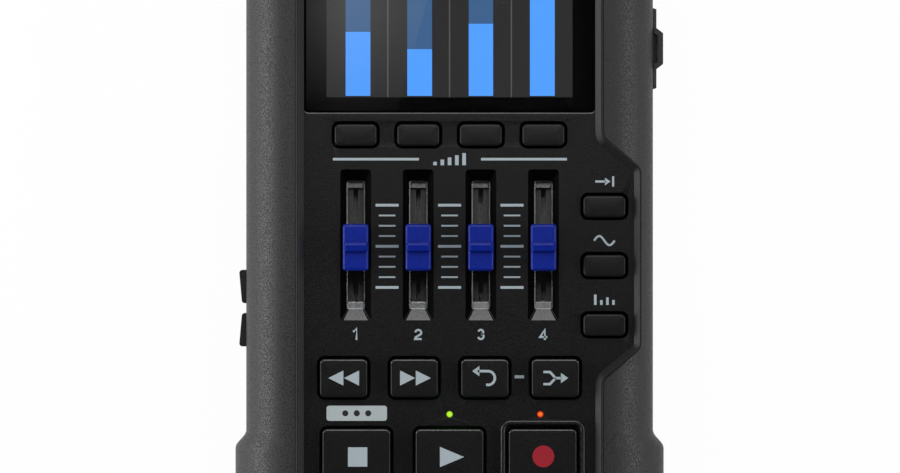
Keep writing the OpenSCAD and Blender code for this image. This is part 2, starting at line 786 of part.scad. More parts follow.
// Tray inside the rim: its walls slope from the plate up to a narrow crest
module panel_tray() {
    lip = crest_w / 2;
    rise = lip * rim_h / (rim_w - crest_w);
    loft([ring(inset(panel_corners, rim_w), panel_top), ring(inset(panel_corners, lip), rim_top + rise)],
        notched = true);
}

module control_panel() {
    guard = box_corners(guard_w, guard_len, guard_r);
    color(panel_colour) difference() {
        union() {
            difference() {
                panel_prism(0, panel_under, rim_top);
                panel_tray();
            }
            translate([guard_at[0], guard_at[1], panel_top - seat]) difference() {
                tapered(guard, inset(guard, guard_draft), guard_h + seat);
                translate([0, 0, -over]) plate(guard_w - 2 * guard_t, guard_len - 2 * guard_t,
                    guard_r - guard_t, guard_h + 2 * over);
            }
        }
        for (key = keys) key_hole(key[0], key[1]);
        for (n = tracks) fader_slot(n);
        translate([0, lens_y, panel_top - lens_t - 2 * seat])
            plate(lens_w + slip, lens_len + slip, lens_r, far);
        translate([0, lens_y, panel_under - over]) plate(window_w, window_len, lens_r, far);
        for (x = [0, record_led_x]) translate([x, led_y, panel_under - over])
            cylinder(r = led_r + seat, h = far);
    }
}

module display_lens() {
    color("#101114") translate([0, lens_y, panel_top - lens_t - seat])
        plate(lens_w, lens_len, lens_r, lens_t);
}

module lcd_module() {
    color("#3a3c40") translate([0, lens_y, panel_under - seat - lcd_t]) plate(lcd_w, lcd_len, lens_r, lcd_t);
}

module main_board() {
    color(board_colour) difference() {
        translate([0, board_y, board_z]) plate(board_w, board_len, 1, board_t);
        for (at = screw_at) translate([at[0], at[1], 0]) cylinder(r = post_r + slip, h = far);
    }
}

// Pot: folded sheet metal housing with a window over the lever's travel and a stop tab at each end
pot_tab_len = 1.2;
pot_tab_hold = 1;
module fader_pot(n) {
    window_end = slot_in_len / 2 - seat;
    color(metal_colour) translate([fader_x(n), fader_y, board_top]) {
        difference() {
            box(span(0, pot_w / 2), span(0, pot_len / 2), [0, pot_h]);
            box(span(0, pot_w / 2 - pot_t), span(0, pot_len / 2 - pot_t), [pot_t, pot_h - pot_t]);
            box(span(0, slot_in_w / 2 - pot_lip), span(0, window_end), [pot_t, pot_h + over]);
        }
        for (s = [-1, 1]) translate([0, s * (window_end + (pot_tab_hold - pot_tab_len) / 2), 0])
            box(span(0, slot_in_w / 2 + pot_t), span(0, (pot_tab_hold + pot_tab_len) / 2),
                [pot_h - 2 * pot_t, pot_h - pot_t + seat]);
    }
}

// Contact strips: two in each pot, on both sides of the lever's slit
strip_t = 0.6;
strip_z = pot_top - 2 * pot_t - slip - strip_t / 2;
slit_w = blade_t + 2 * stem_gap;
module fader_strips() {
    color("#5a4a3c") for (n = tracks, s = [-1, 1])
        translate([fader_x(n) + s * (slit_w / 4 + pot_w / 4 - pot_t / 2), fader_y, strip_z])
            cube([pot_w / 2 - pot_t - slit_w / 2, pot_len - 2 * pot_t, strip_t], center = true);
}

// Lever: a carriage that runs in the pot and a blade up into the cap
carriage_w = 6;
carriage_len = 5;
carriage_h = 3;
blade_cover = 0.8;
blade_top = panel_top + cap_gap + cap_h - blade_cover;
module fader_lever(n) {
    low = board_top + pot_t + slip;
    color(metal_colour) translate([fader_x(n), cap_y, 0]) {
        box(span(0, carriage_w / 2), span(0, carriage_len / 2), [low, low + carriage_h]);
        box(span(0, blade_t / 2), span(0, blade_len / 2), [low + carriage_h - over, blade_top]);
    }
}

// Cap: tapered block with a finger ridge, steep towards the display and sloped behind
cap_taper = 0.3;
cap_corner_r = 0.5;
ridge_top_len = 0.35;
module fader_cap(n) {
    color(cap_colour) translate([fader_x(n), cap_y, panel_top + cap_gap]) difference() {
        union() {
            tapered(box_corners(cap_w, cap_len, cap_corner_r),
                box_corners(cap_w - 2 * cap_taper, cap_len - 2 * cap_taper, cap_corner_r), cap_h);
            translate([0, 0, cap_h - over])
                tapered(box_corners(cap_w - 2 * cap_taper, ridge_len + over, seat),
                    box_corners(cap_w - 4 * cap_taper, ridge_top_len, seat), ridge_h + over,
                    (ridge_len - ridge_top_len) / 2);
        }
        translate([0, 0, -over])
            box(span(0, blade_t / 2 + seat), span(0, blade_len / 2 + seat),
                [0, blade_top - panel_top - cap_gap + over + seat]);
    }
}

// Key: rounded cap through the panel, a flange under it and a stem over its switch
module push_key(at, size, colour) {
    flange_z = panel_under - seat - flange_t;
    color(colour) translate([at[0], at[1], 0]) {
        translate([0, 0, flange_z + flange_t / 2])
            pillow(size[0], size[1], key_corner_r, panel_top + size[2] - flange_z - flange_t / 2, key_bevel);
        translate([0, 0, flange_z])
            plate(size[0] + 2 * (key_gap + key_flange), size[1] + 2 * (key_gap + key_flange),
                key_corner_r, flange_t);
        stem_z = plunger_top + key_travel + stem_gap;
        translate([0, 0, stem_z]) cylinder(r = stem_r, h = flange_z - stem_z + over);
    }
}

module track_key(n) { push_key(track_key_at(n), small_key, key_colour); }
module function_key(i) { push_key(function_key_at(i), small_key, key_colour); }
module row_key(i) { push_key(row_key_at(i), row_key, key_colour); }
module transport_key(i) { push_key(transport_key_at(i), transport_key, key_colour); }

// Volume key: wedge that dips towards its neighbour, with a flange inside the wall
module volume_key(s) {
    outer = waist_x + volume_proud;
    dip = outer - volume_dip;
    flange_in = inner_x - 2 * seat - volume_flange;
    half = volume_len / 2;
    color(key_colour) translate([0, volume_y + s * volume_pitch / 2, side_z]) mirror([1, 0, 0]) {
        translate([0, 0, -volume_h / 2]) linear_extrude(volume_h)
            polygon(rounded([[flange_in, -half, seat], [s > 0 ? dip : outer, -half, key_bevel],
                [s > 0 ? outer : dip, half, key_bevel], [flange_in, half, seat]], corner_steps));
        box([flange_in, flange_in + volume_flange], span(0, half + key_flange),
            span(0, volume_h / 2 + key_flange));
    }
}

module slider_plate() {
    foot = box_corners(slider_plate_len, slider_plate_h, plate_corner_r);
    color(black_colour) translate(slider_at) difference() {
        rotate([90, 0, 90]) loft([ring(foot, seat - slider_seat), ring(foot, 0),
            ring(inset(foot, plate_draft), slider_plate_proud)]);
        box([-far, far], span(0, slider_stem_len / 2 + slider_travel + slip),
            span(0, slider_stem_h / 2 + slip));
    }
}

// The knob reaches over and under its plate, with a dip in its top
module power_slider() {
    base = slider_plate_proud + seat;
    half = slider_knob_len / 2;
    flat = half - slider_knob_slope;
    dip_x = slider_knob_proud - slider_knob_wall;
    dip_flat = flat - slider_knob_wall / 2;
    dip_half = half - slider_knob_wall;
    color(key_colour) translate(slider_at) {
        difference() {
            translate([0, 0, -slider_knob_h / 2]) linear_extrude(slider_knob_h)
                polygon(rounded([[slip, -half, seat], [base, -half, seat],
                    [slider_knob_proud, -flat, key_bevel / 2], [slider_knob_proud, flat, key_bevel / 2],
                    [base, half, seat], [slip, half, seat]], corner_steps));
            box([-far, base], [-far, far], span(0, slider_plate_h / 2 + slip));
            translate([0, 0, slider_knob_h / 2 - slider_knob_dip]) linear_extrude(far)
                polygon([[0, -dip_half], [dip_x, -dip_flat], [dip_x, dip_flat], [0, dip_half]]);
        }
        box([inner_x - waist_x - slider_stem_reach, base + over], span(0, slider_stem_len / 2),
            span(0, slider_stem_h / 2));
    }
}

slide_switch_h = 3.6;
slide_switch_len = 12;
module slide_switch() {
    outer = inner_x - slip;
    color(metal_colour) translate([0, slider_y, side_z]) difference() {
        box([board_w / 2 + slip, outer], span(0, slide_switch_len / 2), span(0, slide_switch_h / 2));
        box([inner_x - slider_stem_reach - slip, far], span(0, slider_stem_len / 2 + slider_travel + slip),
            span(0, slider_stem_h / 2 + slip));
    }
}

// Light pipe over its lamp on the board
led_base_r = 1.25;
led_base_h = 1.5;
module led(x, colour) {
    color(colour) translate([x, led_y, board_top]) {
        cylinder(r = led_base_r, h = led_base_h);
        cylinder(r = led_r, h = panel_top - board_top + 2 * seat);
    }
}
module play_led() { led(0, "#a8e020"); }
module record_led() { led(record_led_x, "#ff4818"); }

// Switches: one under each key, and two at the board's edge for the volume keys
module key_switches() {
    color(black_colour) {
        for (key = keys) translate([key[0][0], key[0][1], board_top]) {
            box(span(0, switch_w / 2), span(0, switch_w / 2), [0, switch_h]);
            cylinder(r = plunger_r, h = switch_h + plunger_h);
        }
        reach = inner_x - 2 * seat - volume_flange - volume_travel - stem_gap;
        for (s = [-1, 1]) translate([0, volume_y + s * volume_pitch / 2, side_z])
            box([-reach, -board_w / 2 - slip / 2], span(0, switch_w / 2), span(0, slide_switch_h / 2));
    }
}

// Cover: its hinge side slants back, so that it swings clear of the shell
finger_r = 8;
cover_turn = hinge_y - compartment_high;
cover_swing = sqrt(pow(cover_turn, 2) + pow(hinge_z - back_z, 2) - pow(hinge_z - floor_z, 2));
module battery_cover() {
    half = compartment_w / 2 - slip;
    low = compartment_low + slip;
    color(grip_colour) {
        difference() {
            union() {
                along_x(2 * half) linear_extrude(2 * half)
                    polygon([[low, back_z], [hinge_y - cover_turn - slip, back_z],
                        [hinge_y - cover_swing - slip, floor_z], [low, floor_z]]);
                box([-half, half], [low - latch_lip, low + over], [back_z, back_z + cover_t / 2 - slip / 2]);
                box(span(0, hinge_w / 2), [hinge_y - cover_swing - over, hinge_y], [back_z, floor_z]);
            }
            translate([0, low - latch_lip, back_z - finger_r + cover_t / 4]) along_x(finger_r * 2)
                cylinder(r = finger_r, h = finger_r * 2);
        }
        translate([0, hinge_y, hinge_z]) {
            along_x(hinge_w) cylinder(r = hinge_r, h = hinge_w);
            along_x(hinge_w + 2 * hinge_pin_len) cylinder(r = hinge_pin_r, h = hinge_w + 2 * hinge_pin_len);
        }
    }
}

// Cells lie side by side, turned end for end in turn
function cell_x(n) = (n - (track_count + 1) / 2) * cell_pitch;
function cell_turn(n) = n % 2 == 1 ? 1 : -1;
nub_r = 2.7;
nub_h = 1.4;
module batteries() {
    color("#3d4247") for (n = tracks)
        translate([cell_x(n), compartment_y + cell_turn(n) * (compartment_len / 2 - contact_t - 2 * seat),
            cell_z])
            rotate([90 * cell_turn(n), 0, 0]) {
                cylinder(r = nub_r, h = nub_h + over);
                translate([0, 0, nub_h]) cylinder(r = cell_d / 2, h = cell_len - nub_h);
            }
}

contact_w = 11;
module battery_contacts() {
    color(metal_colour) for (n = tracks, s = [-1, 1])
        translate([cell_x(n), compartment_y + s * (compartment_len / 2 - seat), cell_z])
            rotate([s * 90, 0, 0]) {
                translate([0, 0, contact_t / 2]) cube([contact_w, contact_w, contact_t], center = true);
                if (s != cell_turn(n))
                    cylinder(r1 = cell_d / 3, r2 = cell_d / 5, h = contact_t + spring_len - 2 * seat);
            }
}

// Input jack: square housing, round well, and a block with a plug bore and three contact holes
module input_jack(s) {
    color(black_colour) translate([s * jack_x, jack_front, jack_z]) rotate([-90, 0, 0]) difference() {
        union() {
            translate([-jack_w / 2, -jack_h / 2, 0]) cube([jack_w, jack_h, jack_plate_t]);
            translate([-jack_w / 2 + jack_shoulder, -jack_h / 2 + jack_shoulder, 0])
                cube([jack_w - 2 * jack_shoulder, jack_h - 2 * jack_shoulder, jack_len]);
        }
        difference() {
            translate([0, 0, -over]) cylinder(r = well_r, h = well_depth + over);
            translate([0, 0, contact_block_back]) cylinder(r = contact_block_r, h = far);
        }
        translate([0, 0, -over]) cylinder(r = plug_r, h = plug_depth + over);
        for (turn = [90, 210, 330]) rotate(turn) translate([pin_circle_r, 0, 0])
            cylinder(r = pin_hole_r, h = contact_block_back + pin_depth);
    }
}

jack_board_h = 20;
module jack_board() {
    color(board_colour) box(span(0, jack_x + jack_w / 2 - jack_shoulder), [jack_back, jack_back + board_t],
        span(jack_z, jack_board_h / 2));
}

module usb_port() {
    color(metal_colour) translate([usb_mouth, usb_y, usb_z]) rotate([90, 0, -90]) {
        difference() {
            plate(usb_w, usb_h, usb_h / 2 - seat, usb_len);
            translate([0, 0, -over])
                plate(usb_w - 2 * usb_t, usb_h - 2 * usb_t, usb_h / 2 - usb_t - seat, usb_len - wall + over);
        }
        translate([0, 0, over]) plate(usb_w - usb_h, usb_tongue_t, usb_t, usb_len - over - seat);
    }
}

module phones_jack() {
    color(black_colour) difference() {
        union() {
            box([-phones_body_x, -phones_body_x + phones_len], span(phones_y, phones_w / 2),
                [board_top, board_top + phones_h]);
            translate([-phones_mouth, phones_y, phones_z]) rotate([0, 90, 0])
                cylinder(r = phones_nose_r, h = phones_mouth - phones_body_x + over);
        }
        translate([-phones_mouth - over, phones_y, phones_z]) rotate([0, 90, 0])
            cylinder(r = phones_r, h = phones_depth + over);
    }
}

module card_socket() {
    color(metal_colour) difference() {
        box([-card_mouth, -card_mouth + card_len], span(card_y, card_w / 2), span(card_z, card_h / 2));
        box([-far, -card_mouth + card_len - wall], span(card_y, card_slot_w / 2),
            span(card_z, card_slot_h / 2));
    }
}

module tripod_insert() {
    color("#b08d4a") translate([insert_at[0], insert_at[1], back_z]) difference() {
        cylinder(r = insert_r, h = tripod_len);
        translate([0, 0, -over]) cylinder(r = tripod_r, h = tripod_len + 2 * over);
    }
}

module rubber_feet() {
    color(black_colour) for (x = [-1, 1], y = foot_y_at)
        translate([x * foot_x_at, y, 0]) cylinder(r = foot_r, h = back_z + foot_sink - seat);
}

module case_screws() {
    color(metal_colour) for (at = screw_at) translate([at[0], at[1], screw_seat_z]) {
        translate([0, 0, -screw_head_h]) cylinder(r = screw_head_r, h = screw_head_h - seat);
        translate([0, 0, -over]) cylinder(r = screw_r, h = parting_z + screw_grip - screw_seat_z + over);
    }
}

grille_rows = floor((grille_h - grille_r) / grille_hole_pitch);
grille_columns = floor((grille_w - grille_r) / grille_hole_pitch);
module mic_grille(s) {
    color(metal_colour) translate([s * mic_x, end_y, mic_z]) rotate([90, 0, 0]) difference() {
        plate(grille_w, grille_h, grille_r, grille_t);
        for (i = [0:grille_columns - 1], j = [0:grille_rows - 1])
            translate([(i - (grille_columns - 1) / 2) * grille_hole_pitch,
                (j - (grille_rows - 1) / 2) * grille_hole_pitch, -over])
                cylinder(r = grille_hole_r, h = grille_t + 2 * over);
    }
}

module mic_capsule(s) {
    color(metal_colour) translate([s * mic_x, end_y - grille_t - 2 * seat, mic_z]) rotate([90, 0, 0])
        cylinder(r = mic_r, h = mic_len);
}

front_shell();
rear_shell();
control_panel();
display_lens();
lcd_module();
main_board();
for (n = tracks) {
    fader_pot(n);
    fader_lever(n);
    fader_cap(n);
    track_key(n);
}
fader_strips();
for (i = [0:2]) function_key(i);
for (i = [0:3]) row_key(i);
for (i = [0:2]) transport_key(i);
volume_key(1);  // volume_up_key
volume_key(-1);  // volume_down_key
power_slider();
slider_plate();
slide_switch();
play_led();
record_led();
key_switches();
battery_cover();
batteries();
battery_contacts();
input_jack(-1);  // left_jack
input_jack(1);  // right_jack
jack_board();
usb_port();
phones_jack();
card_socket();
tripod_insert();
rubber_feet();
case_screws();
mic_grille(-1);  // left_mic_grille
mic_grille(1);  // right_mic_grille
mic_capsule(-1);  // left_mic_capsule
mic_capsule(1);  // right_mic_capsule
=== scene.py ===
"""Looks of a handheld four-track recorder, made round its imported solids.

Shapes are worked out in millimetres and become metres where a mesh is made.
"""

import json
import math

import bmesh
import bpy
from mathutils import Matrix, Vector


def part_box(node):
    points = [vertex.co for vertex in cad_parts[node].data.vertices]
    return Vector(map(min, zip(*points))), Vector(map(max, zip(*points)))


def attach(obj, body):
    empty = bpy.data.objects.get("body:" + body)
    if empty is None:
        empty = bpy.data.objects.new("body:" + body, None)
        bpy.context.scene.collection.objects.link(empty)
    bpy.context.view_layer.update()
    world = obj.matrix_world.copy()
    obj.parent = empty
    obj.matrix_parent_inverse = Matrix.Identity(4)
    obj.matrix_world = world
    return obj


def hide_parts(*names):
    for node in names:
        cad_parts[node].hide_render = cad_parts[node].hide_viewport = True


bl_info = {
    "name": "Handheld Recorder",
    "version": (1, 0, 0),
    "blender": (4, 5, 0),
    "location": "View3D > Sidebar > Recorder",
    "description": "Finishes the solids of a handheld four-track recorder",
    "category": "Object",
}

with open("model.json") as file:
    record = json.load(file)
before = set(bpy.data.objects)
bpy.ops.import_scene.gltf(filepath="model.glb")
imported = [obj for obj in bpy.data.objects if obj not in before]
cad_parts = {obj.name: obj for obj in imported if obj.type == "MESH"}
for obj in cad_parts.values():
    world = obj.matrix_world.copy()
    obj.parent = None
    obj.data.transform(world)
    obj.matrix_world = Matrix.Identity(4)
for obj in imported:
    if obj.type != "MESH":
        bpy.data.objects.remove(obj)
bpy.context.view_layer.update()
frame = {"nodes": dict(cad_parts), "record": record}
MM = 0.001
ROOT = "recorder"
BODIES = frame["record"]["behaviour"]["bodies"]
BODY_OF = {name: body for body, names in BODIES.items() for name in names}
TRACKS = (1, 2, 3, 4)
SMALL_KEYS = [f"track_key_{n}" for n in TRACKS] + ["input_key", "effect_key", "rhythm_key"]
LARGE_KEYS = ["rewind_key", "forward_key", "undo_key", "bounce_key", "stop_key", "play_key"]
GUARDED_KEY = "record_key"
PUSH_KEYS = SMALL_KEYS + LARGE_KEYS + [GUARDED_KEY]
LIGHTS = ("play_led", "record_led")

# Sizes in millimetres that follow the solids: keys, rim, bay, slots, window, guard, caps and lights
KEY_GAP = 0.42
KEY_FLANGE = 0.6
KEY_CORNER = 0.8
RIM_W = 1.35
RIM_H = 0.9
CREST_W = 0.25
PANEL_CORNER = 3.0
BAY = {"y": -0.1, "root": 40.2, "edge": 29.7, "corner": 2.0}
SLOT_FACE = (5.0, 24.9, 0.5)
SLOT_FLOOR = (3.05, 21.3, 0.4)
SLOT_BEVEL = 0.95
WINDOW = (42.4, 32.2, 0.7)
LENS_GAP = 0.1
# Strip of plate and bevel round the window's pocket: how much wider, longer and higher
WINDOW_MOUTH = ((0.07, 0.5, 0.0), (0.04, 0.36, 0.0), (0.0, 0.0, -0.1))
PANE_EDGE = 0.14
GUARD = (14.1, 12.3, 1.8)
GUARD_DRAFT = 0.1
GUARD_BAND = 0.82
CAP_CORNER = 0.55
CAP_DRAFT = 0.04
RIDGE_H = 1.2
LIGHT_R = 0.52
LIGHT_GAP = 0.05
LIGHT_RISE = 0.25
CORNER_STEPS = 8
EDGE_STEPS = 5

# Finishes of the panel's faces, in the order of their numbers
PANEL_FINISHES = ("Satin Panel", "Polished Slot", "Slot Wall", "Panel Rim", "Guard Band")
PLATE, POLISHED, SHADED_WALL, RIM, BAND = range(5)

# Painted reflection, a soft sheen glowing across the window: its slanted edge and how it runs, as axis, ends
# and shares
SHEEN_FOOT = (-8.8, 24.0)
SHEEN_LEAN = 0.278
SHEEN_RAMPS = (
    ("X", -25.0, -17.5, 0.38, 1.0), ("X", -17.5, -4.0, 1.0, 0.45), ("Y", 25.2, 40.6, 0.1, 1.0),
)


def millimetres(node):
    """Lowest and highest corner of a solid, in millimetres."""
    low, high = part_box(node)
    return low / MM, high / MM


def middle(node):
    """Middle of a solid in plan, in millimetres."""
    low, high = millimetres(node)
    return (low.x + high.x) / 2, (low.y + high.y) / 2


def turns_of(corners):
    """Each (x, y, radius) corner as its place, radius and the ways in and out of it."""
    count = len(corners)
    for i, (x, y, r) in enumerate(corners):
        here = Vector((x, y))
        way_in = (here - Vector(corners[i - 1][:2])).normalized()
        way_out = (Vector(corners[(i + 1) % count][:2]) - here).normalized()
        yield here, r, way_in, way_out


def ring(corners, z, steps=CORNER_STEPS):
    """Points round an outline with rounded corners, counter-clockwise at a height."""
    points = []
    for here, r, way_in, way_out in turns_of(corners):
        half = (-way_in).angle(way_out) / 2
        centre = here + (way_out - way_in).normalized() * r / math.sin(half)
        start = here - way_in * r / math.tan(half) - centre
        stop = here + way_out * r / math.tan(half) - centre
        begin = math.atan2(start.y, start.x)
        turn = (math.atan2(stop.y, stop.x) - begin + math.pi) % math.tau - math.pi
        for k in range(steps + 1):
            angle = begin + turn * k / steps
            place = centre + r * Vector((math.cos(angle), math.sin(angle)))
            points.append(Vector((*place, z)))
    return points


def inset(corners, d):
    """The same corners moved in by d, with their rounds kept parallel."""
    moved = []
    for here, r, way_in, way_out in turns_of(corners):
        a, b = Vector((-way_in.y, way_in.x)), Vector((-way_out.y, way_out.x))
        place = here + (a + b) * d / (1 + a.dot(b))
        bulges = a.x * b.y - a.y * b.x > 0
        moved.append((place.x, place.y, max(r - (d if bulges else -d), 0.01)))
    return moved


def box_corners(w, h, r, at=(0, 0)):
    """Corners of a round-cornered rectangle about a point."""
    signs = ((-1, -1), (1, -1), (1, 1), (-1, 1))
    return [(at[0] + a * w / 2, at[1] + b * h / 2, r) for a, b in signs]


def disc(r, at=(0, 0)):
    """Corners of a circle, as a rectangle that is all corners."""
    return box_corners(2 * r, 2 * r, r * 0.999, at)


def rings_of(levels, steps=CORNER_STEPS):
    """Rings through a row of corners with their heights."""
    return [ring(corners, z, steps) for corners, z in levels]


def quarter(steps=EDGE_STEPS):
    """Steps of a quarter round as (how far in, how far along), from 0 to 1."""
    turns = [math.pi / 2 * k / steps for k in range(steps + 1)]
    return [(1 - math.cos(turn), math.sin(turn)) for turn in turns]


def rolled(corners, edge, top, steps=EDGE_STEPS):
    """Levels of a rounded upper edge, from its foot to its top."""
    return [(inset(corners, edge * back), top - edge + edge * along) for back, along in quarter(steps)]


def skin(bm, rings, ends=(True, True), looped=False, pick=None):
    """Faces through a row of like rings, outwards where the rings rise, with the finish that pick gives."""
    loops = [[bm.verts.new(point) for point in points] for points in rings]
    pairs = list(zip(loops, loops[1:])) + ([(loops[-1], loops[0])] if looped else [])
    made = []
    for low, high in pairs:
        for i in range(len(low)):
            k = (i + 1) % len(low)
            made.append(bm.faces.new((low[i], low[k], high[k], high[i])))
    if ends[0] and not looped:
        made.append(bm.faces.new(list(reversed(loops[0]))))
    if ends[1] and not looped:
        made.append(bm.faces.new(loops[-1]))
    for face in made if pick else ():
        face.normal_update()
        face.material_index = pick(face)


def skinned(levels, looped=False, pick=None):
    """Mesh of one skin through a row of corners with their heights."""
    bm = bmesh.new()
    skin(bm, rings_of(levels), looped=looped, pick=pick)
    return bm


def holed_face(bm, outer, holes, up):
    """Flat face inside one ring and outside the others."""
    edges = []
    for points in [outer, *holes]:
        verts = [bm.verts.new(point) for point in points]
        edges += [bm.edges.new((verts[i - 1], verts[i])) for i in range(len(verts))]
    bmesh.ops.remove_doubles(bm, verts=list({v for e in edges for v in e.verts}), dist=1e-5)
    edges = [e for e in edges if e.is_valid]
    made = bmesh.ops.triangle_fill(bm, edges=edges, use_beauty=True, normal=(0, 0, 1))
    for face in made["geom"]:
        if isinstance(face, bmesh.types.BMFace) and (face.normal.z > 0) != up:
            face.normal_flip()


def prism(bm, points, low, high):
    """Thin upright solid on a flat outline."""
    skin(bm, [[Vector((x, y, z)) for x, y in points] for z in (low, high)])


def slab(bm, x0, y0, x1, y1, low, high):
    """Thin upright solid on a rectangle."""
    prism(bm, [(x0, y0), (x1, y0), (x1, y1), (x0, y1)], low, high)


def stroke(path, width):
    """Outline of a line of even width along a path."""
    path = [Vector(p) for p in path]
    ways = [(b - a).normalized() for a, b in zip(path, path[1:])]
    right, left = [], []
    for here, before, after in zip(path, ways[:1] + ways, ways + ways[-1:]):
        along = (before + after).normalized()
        side = Vector((-along.y, along.x)) * width / 2 / max(along.dot(before), 0.5)
        right.append(tuple(here - side))
        left.append(tuple(here + side))
    return right + left[::-1]


def shape(name, bm, finish, angle=40, firm=False):
    """Object from a mesh in millimetres, smooth but for sharp edges, with its flats kept flat if firm."""
    bmesh.ops.remove_doubles(bm, verts=bm.verts, dist=1e-4)
    bmesh.ops.dissolve_degenerate(bm, edges=bm.edges, dist=1e-5)
    for vert in bm.verts:
        vert.co *= MM
    mesh = bpy.data.meshes.new(name)
    bm.to_mesh(mesh)
    bm.free()
    if "custom_normal" in mesh.attributes:
        mesh.attributes.remove(mesh.attributes["custom_normal"])
    mesh.materials.append(finish)
    mesh.shade_smooth()
    mesh.set_sharp_from_angle(angle=math.radians(angle))
    obj = bpy.data.objects.new(name, mesh)
    bpy.context.scene.collection.objects.link(obj)
    if firm:
        obj.modifiers.new("Weighted Normal", "WEIGHTED_NORMAL").keep_sharp = True
    return obj


def join_part(obj, body, slot, *nodes):
    """The piece rides on a body and stands for its nodes; slot is not used."""
    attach(obj, body)
    if nodes:
        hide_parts(*nodes)
    return obj


def piece(name, bm, finishes, body, slot, *nodes, angle=40, firm=False):
    """Part made from a mesh in millimetres, with one finish or a row of them."""
    first, *others = [finishes] if isinstance(finishes, str) else finishes
    obj = shape(name, bm, finish_of(first), angle, firm)
    for finish in others:
        obj.data.materials.append(finish_of(finish))
    return join_part(obj, body, slot, *nodes)


def node(tree, kind, inputs=None, **settings):
    """A shader or geometry node with its settings, values and links."""
    made = tree.nodes.new(kind)
    for name, value in settings.items():
        setattr(made, name, value)
    for name, value in (inputs or {}).items():
        socket = made.inputs[name]
        if isinstance(value, bpy.types.NodeSocket):
            tree.links.new(value, socket)
        else:
            socket.default_value = value
    return made


def sums(tree, operation, first, *others):
    """Result of one operation on a row of values."""
    for other in others:
        first = node(tree, "ShaderNodeMath", {0: first, 1: other}, operation=operation).outputs[0]
    return first


def ramp(tree, value, start, stop, low=0.0, high=1.0, **settings):
    """Value carried from one range to another and held at its ends."""
    span = {"Value": value, "From Min": start, "From Max": stop, "To Min": low, "To Max": high}
    return node(tree, "ShaderNodeMapRange", span, **settings).outputs[0]


def own_place(tree):
    """Place on the object, in its own metres."""
    return node(tree, "ShaderNodeTexCoord").outputs["Object"]


def own_axes(tree):
    """Place on the object by axis."""
    return node(tree, "ShaderNodeSeparateXYZ", {0: own_place(tree)}).outputs


def moulded_grain(tree, fine):
    """Spark-eroded mould texture: small rounded pits over finer dust."""
    spots = {"Vector": own_place(tree), "Scale": fine}
    pits = node(tree, "ShaderNodeTexVoronoi", {**spots, "Smoothness": 0.7}, feature="SMOOTH_F1")
    dust = node(tree, "ShaderNodeTexNoise", {**spots, "Detail": 3.0})
    height = sums(tree, "ADD", pits.outputs["Distance"], dust.outputs["Fac"])
    return height, ramp(tree, height, 0.65, 1.15)


def slow_drift(tree, fine):
    """Broad cloudy change over a surface, such as handling leaves."""
    spots = {"Vector": own_place(tree), "Scale": fine, "Detail": 4.0, "Roughness": 0.6}
    cloud = node(tree, "ShaderNodeTexNoise", spots)
    return (ramp(tree, cloud.outputs["Fac"], 0.3, 0.7),)


def picture_cells(tree, fine):
    """Mask of the small picture cells of a display, darker along their borders."""
    axes = own_axes(tree)
    masks = []
    for axis in "XY":
        fold = sums(tree, "PINGPONG", sums(tree, "MULTIPLY", axes[axis], fine), 0.5)
        masks.append(ramp(tree, fold, 0.0, 0.12, 0.72))
    return (sums(tree, "MULTIPLY", *masks),)


def painted_sheen_share(tree, strength):
    """Share of the painted reflection across the window, strongest near its upper left."""
    axes = own_axes(tree)
    shares = [ramp(tree, axes[a], start * MM, stop * MM, *ends) for a, start, stop, *ends in SHEEN_RAMPS]
    return (sums(tree, "MULTIPLY", *shares, strength),)


EFFECTS = {
    "Moulded Grain": (moulded_grain, "Fineness", ("Height", "Shade")),
    "Slow Drift": (slow_drift, "Fineness", ("Share",)),
    "Picture Cells": (picture_cells, "Fineness", ("Mask",)),
    "Slanted Sheen": (painted_sheen_share, "Strength", ("Share",)),
}


def effect(tree, name, amount):
    """Outputs of a shared effect, which is a node group made once and placed with its own amount."""
    build, title, outputs = EFFECTS[name]
    group = bpy.data.node_groups.get(name)
    if not group:
        group = bpy.data.node_groups.new(name, "ShaderNodeTree")
        group.interface.new_socket(title, in_out="INPUT", socket_type="NodeSocketFloat")
        for output in outputs:
            group.interface.new_socket(output, in_out="OUTPUT", socket_type="NodeSocketFloat")
        results = build(group, node(group, "NodeGroupInput").outputs[title])
        node(group, "NodeGroupOutput", dict(zip(outputs, results)))
    return node(tree, "ShaderNodeGroup", {title: amount}, node_tree=group).outputs


def blank_material(name):
    """A material with an empty node tree."""
    made = bpy.data.materials.new(name)
    made.use_nodes = True
    made.node_tree.nodes.clear()
    return made, made.node_tree


def surfaced(made, values):
    """The material with one surface shader of these values."""
    surface = node(made.node_tree, "ShaderNodeBsdfPrincipled", values)
    node(made.node_tree, "ShaderNodeOutputMaterial", {"Surface": surface.outputs[0]})
    return made


def scaled(colour, factor):
    """A colour made lighter or darker, with full opacity."""
    return (*[min(c * factor, 1.0) for c in colour[:3]], 1.0)


def blended(tree, share, low, high):
    """Colour that runs from one to another with a share."""
    mix = node(tree, "ShaderNodeMix", {0: share, 6: low, 7: high}, data_type="RGBA")
    return mix.outputs[2]


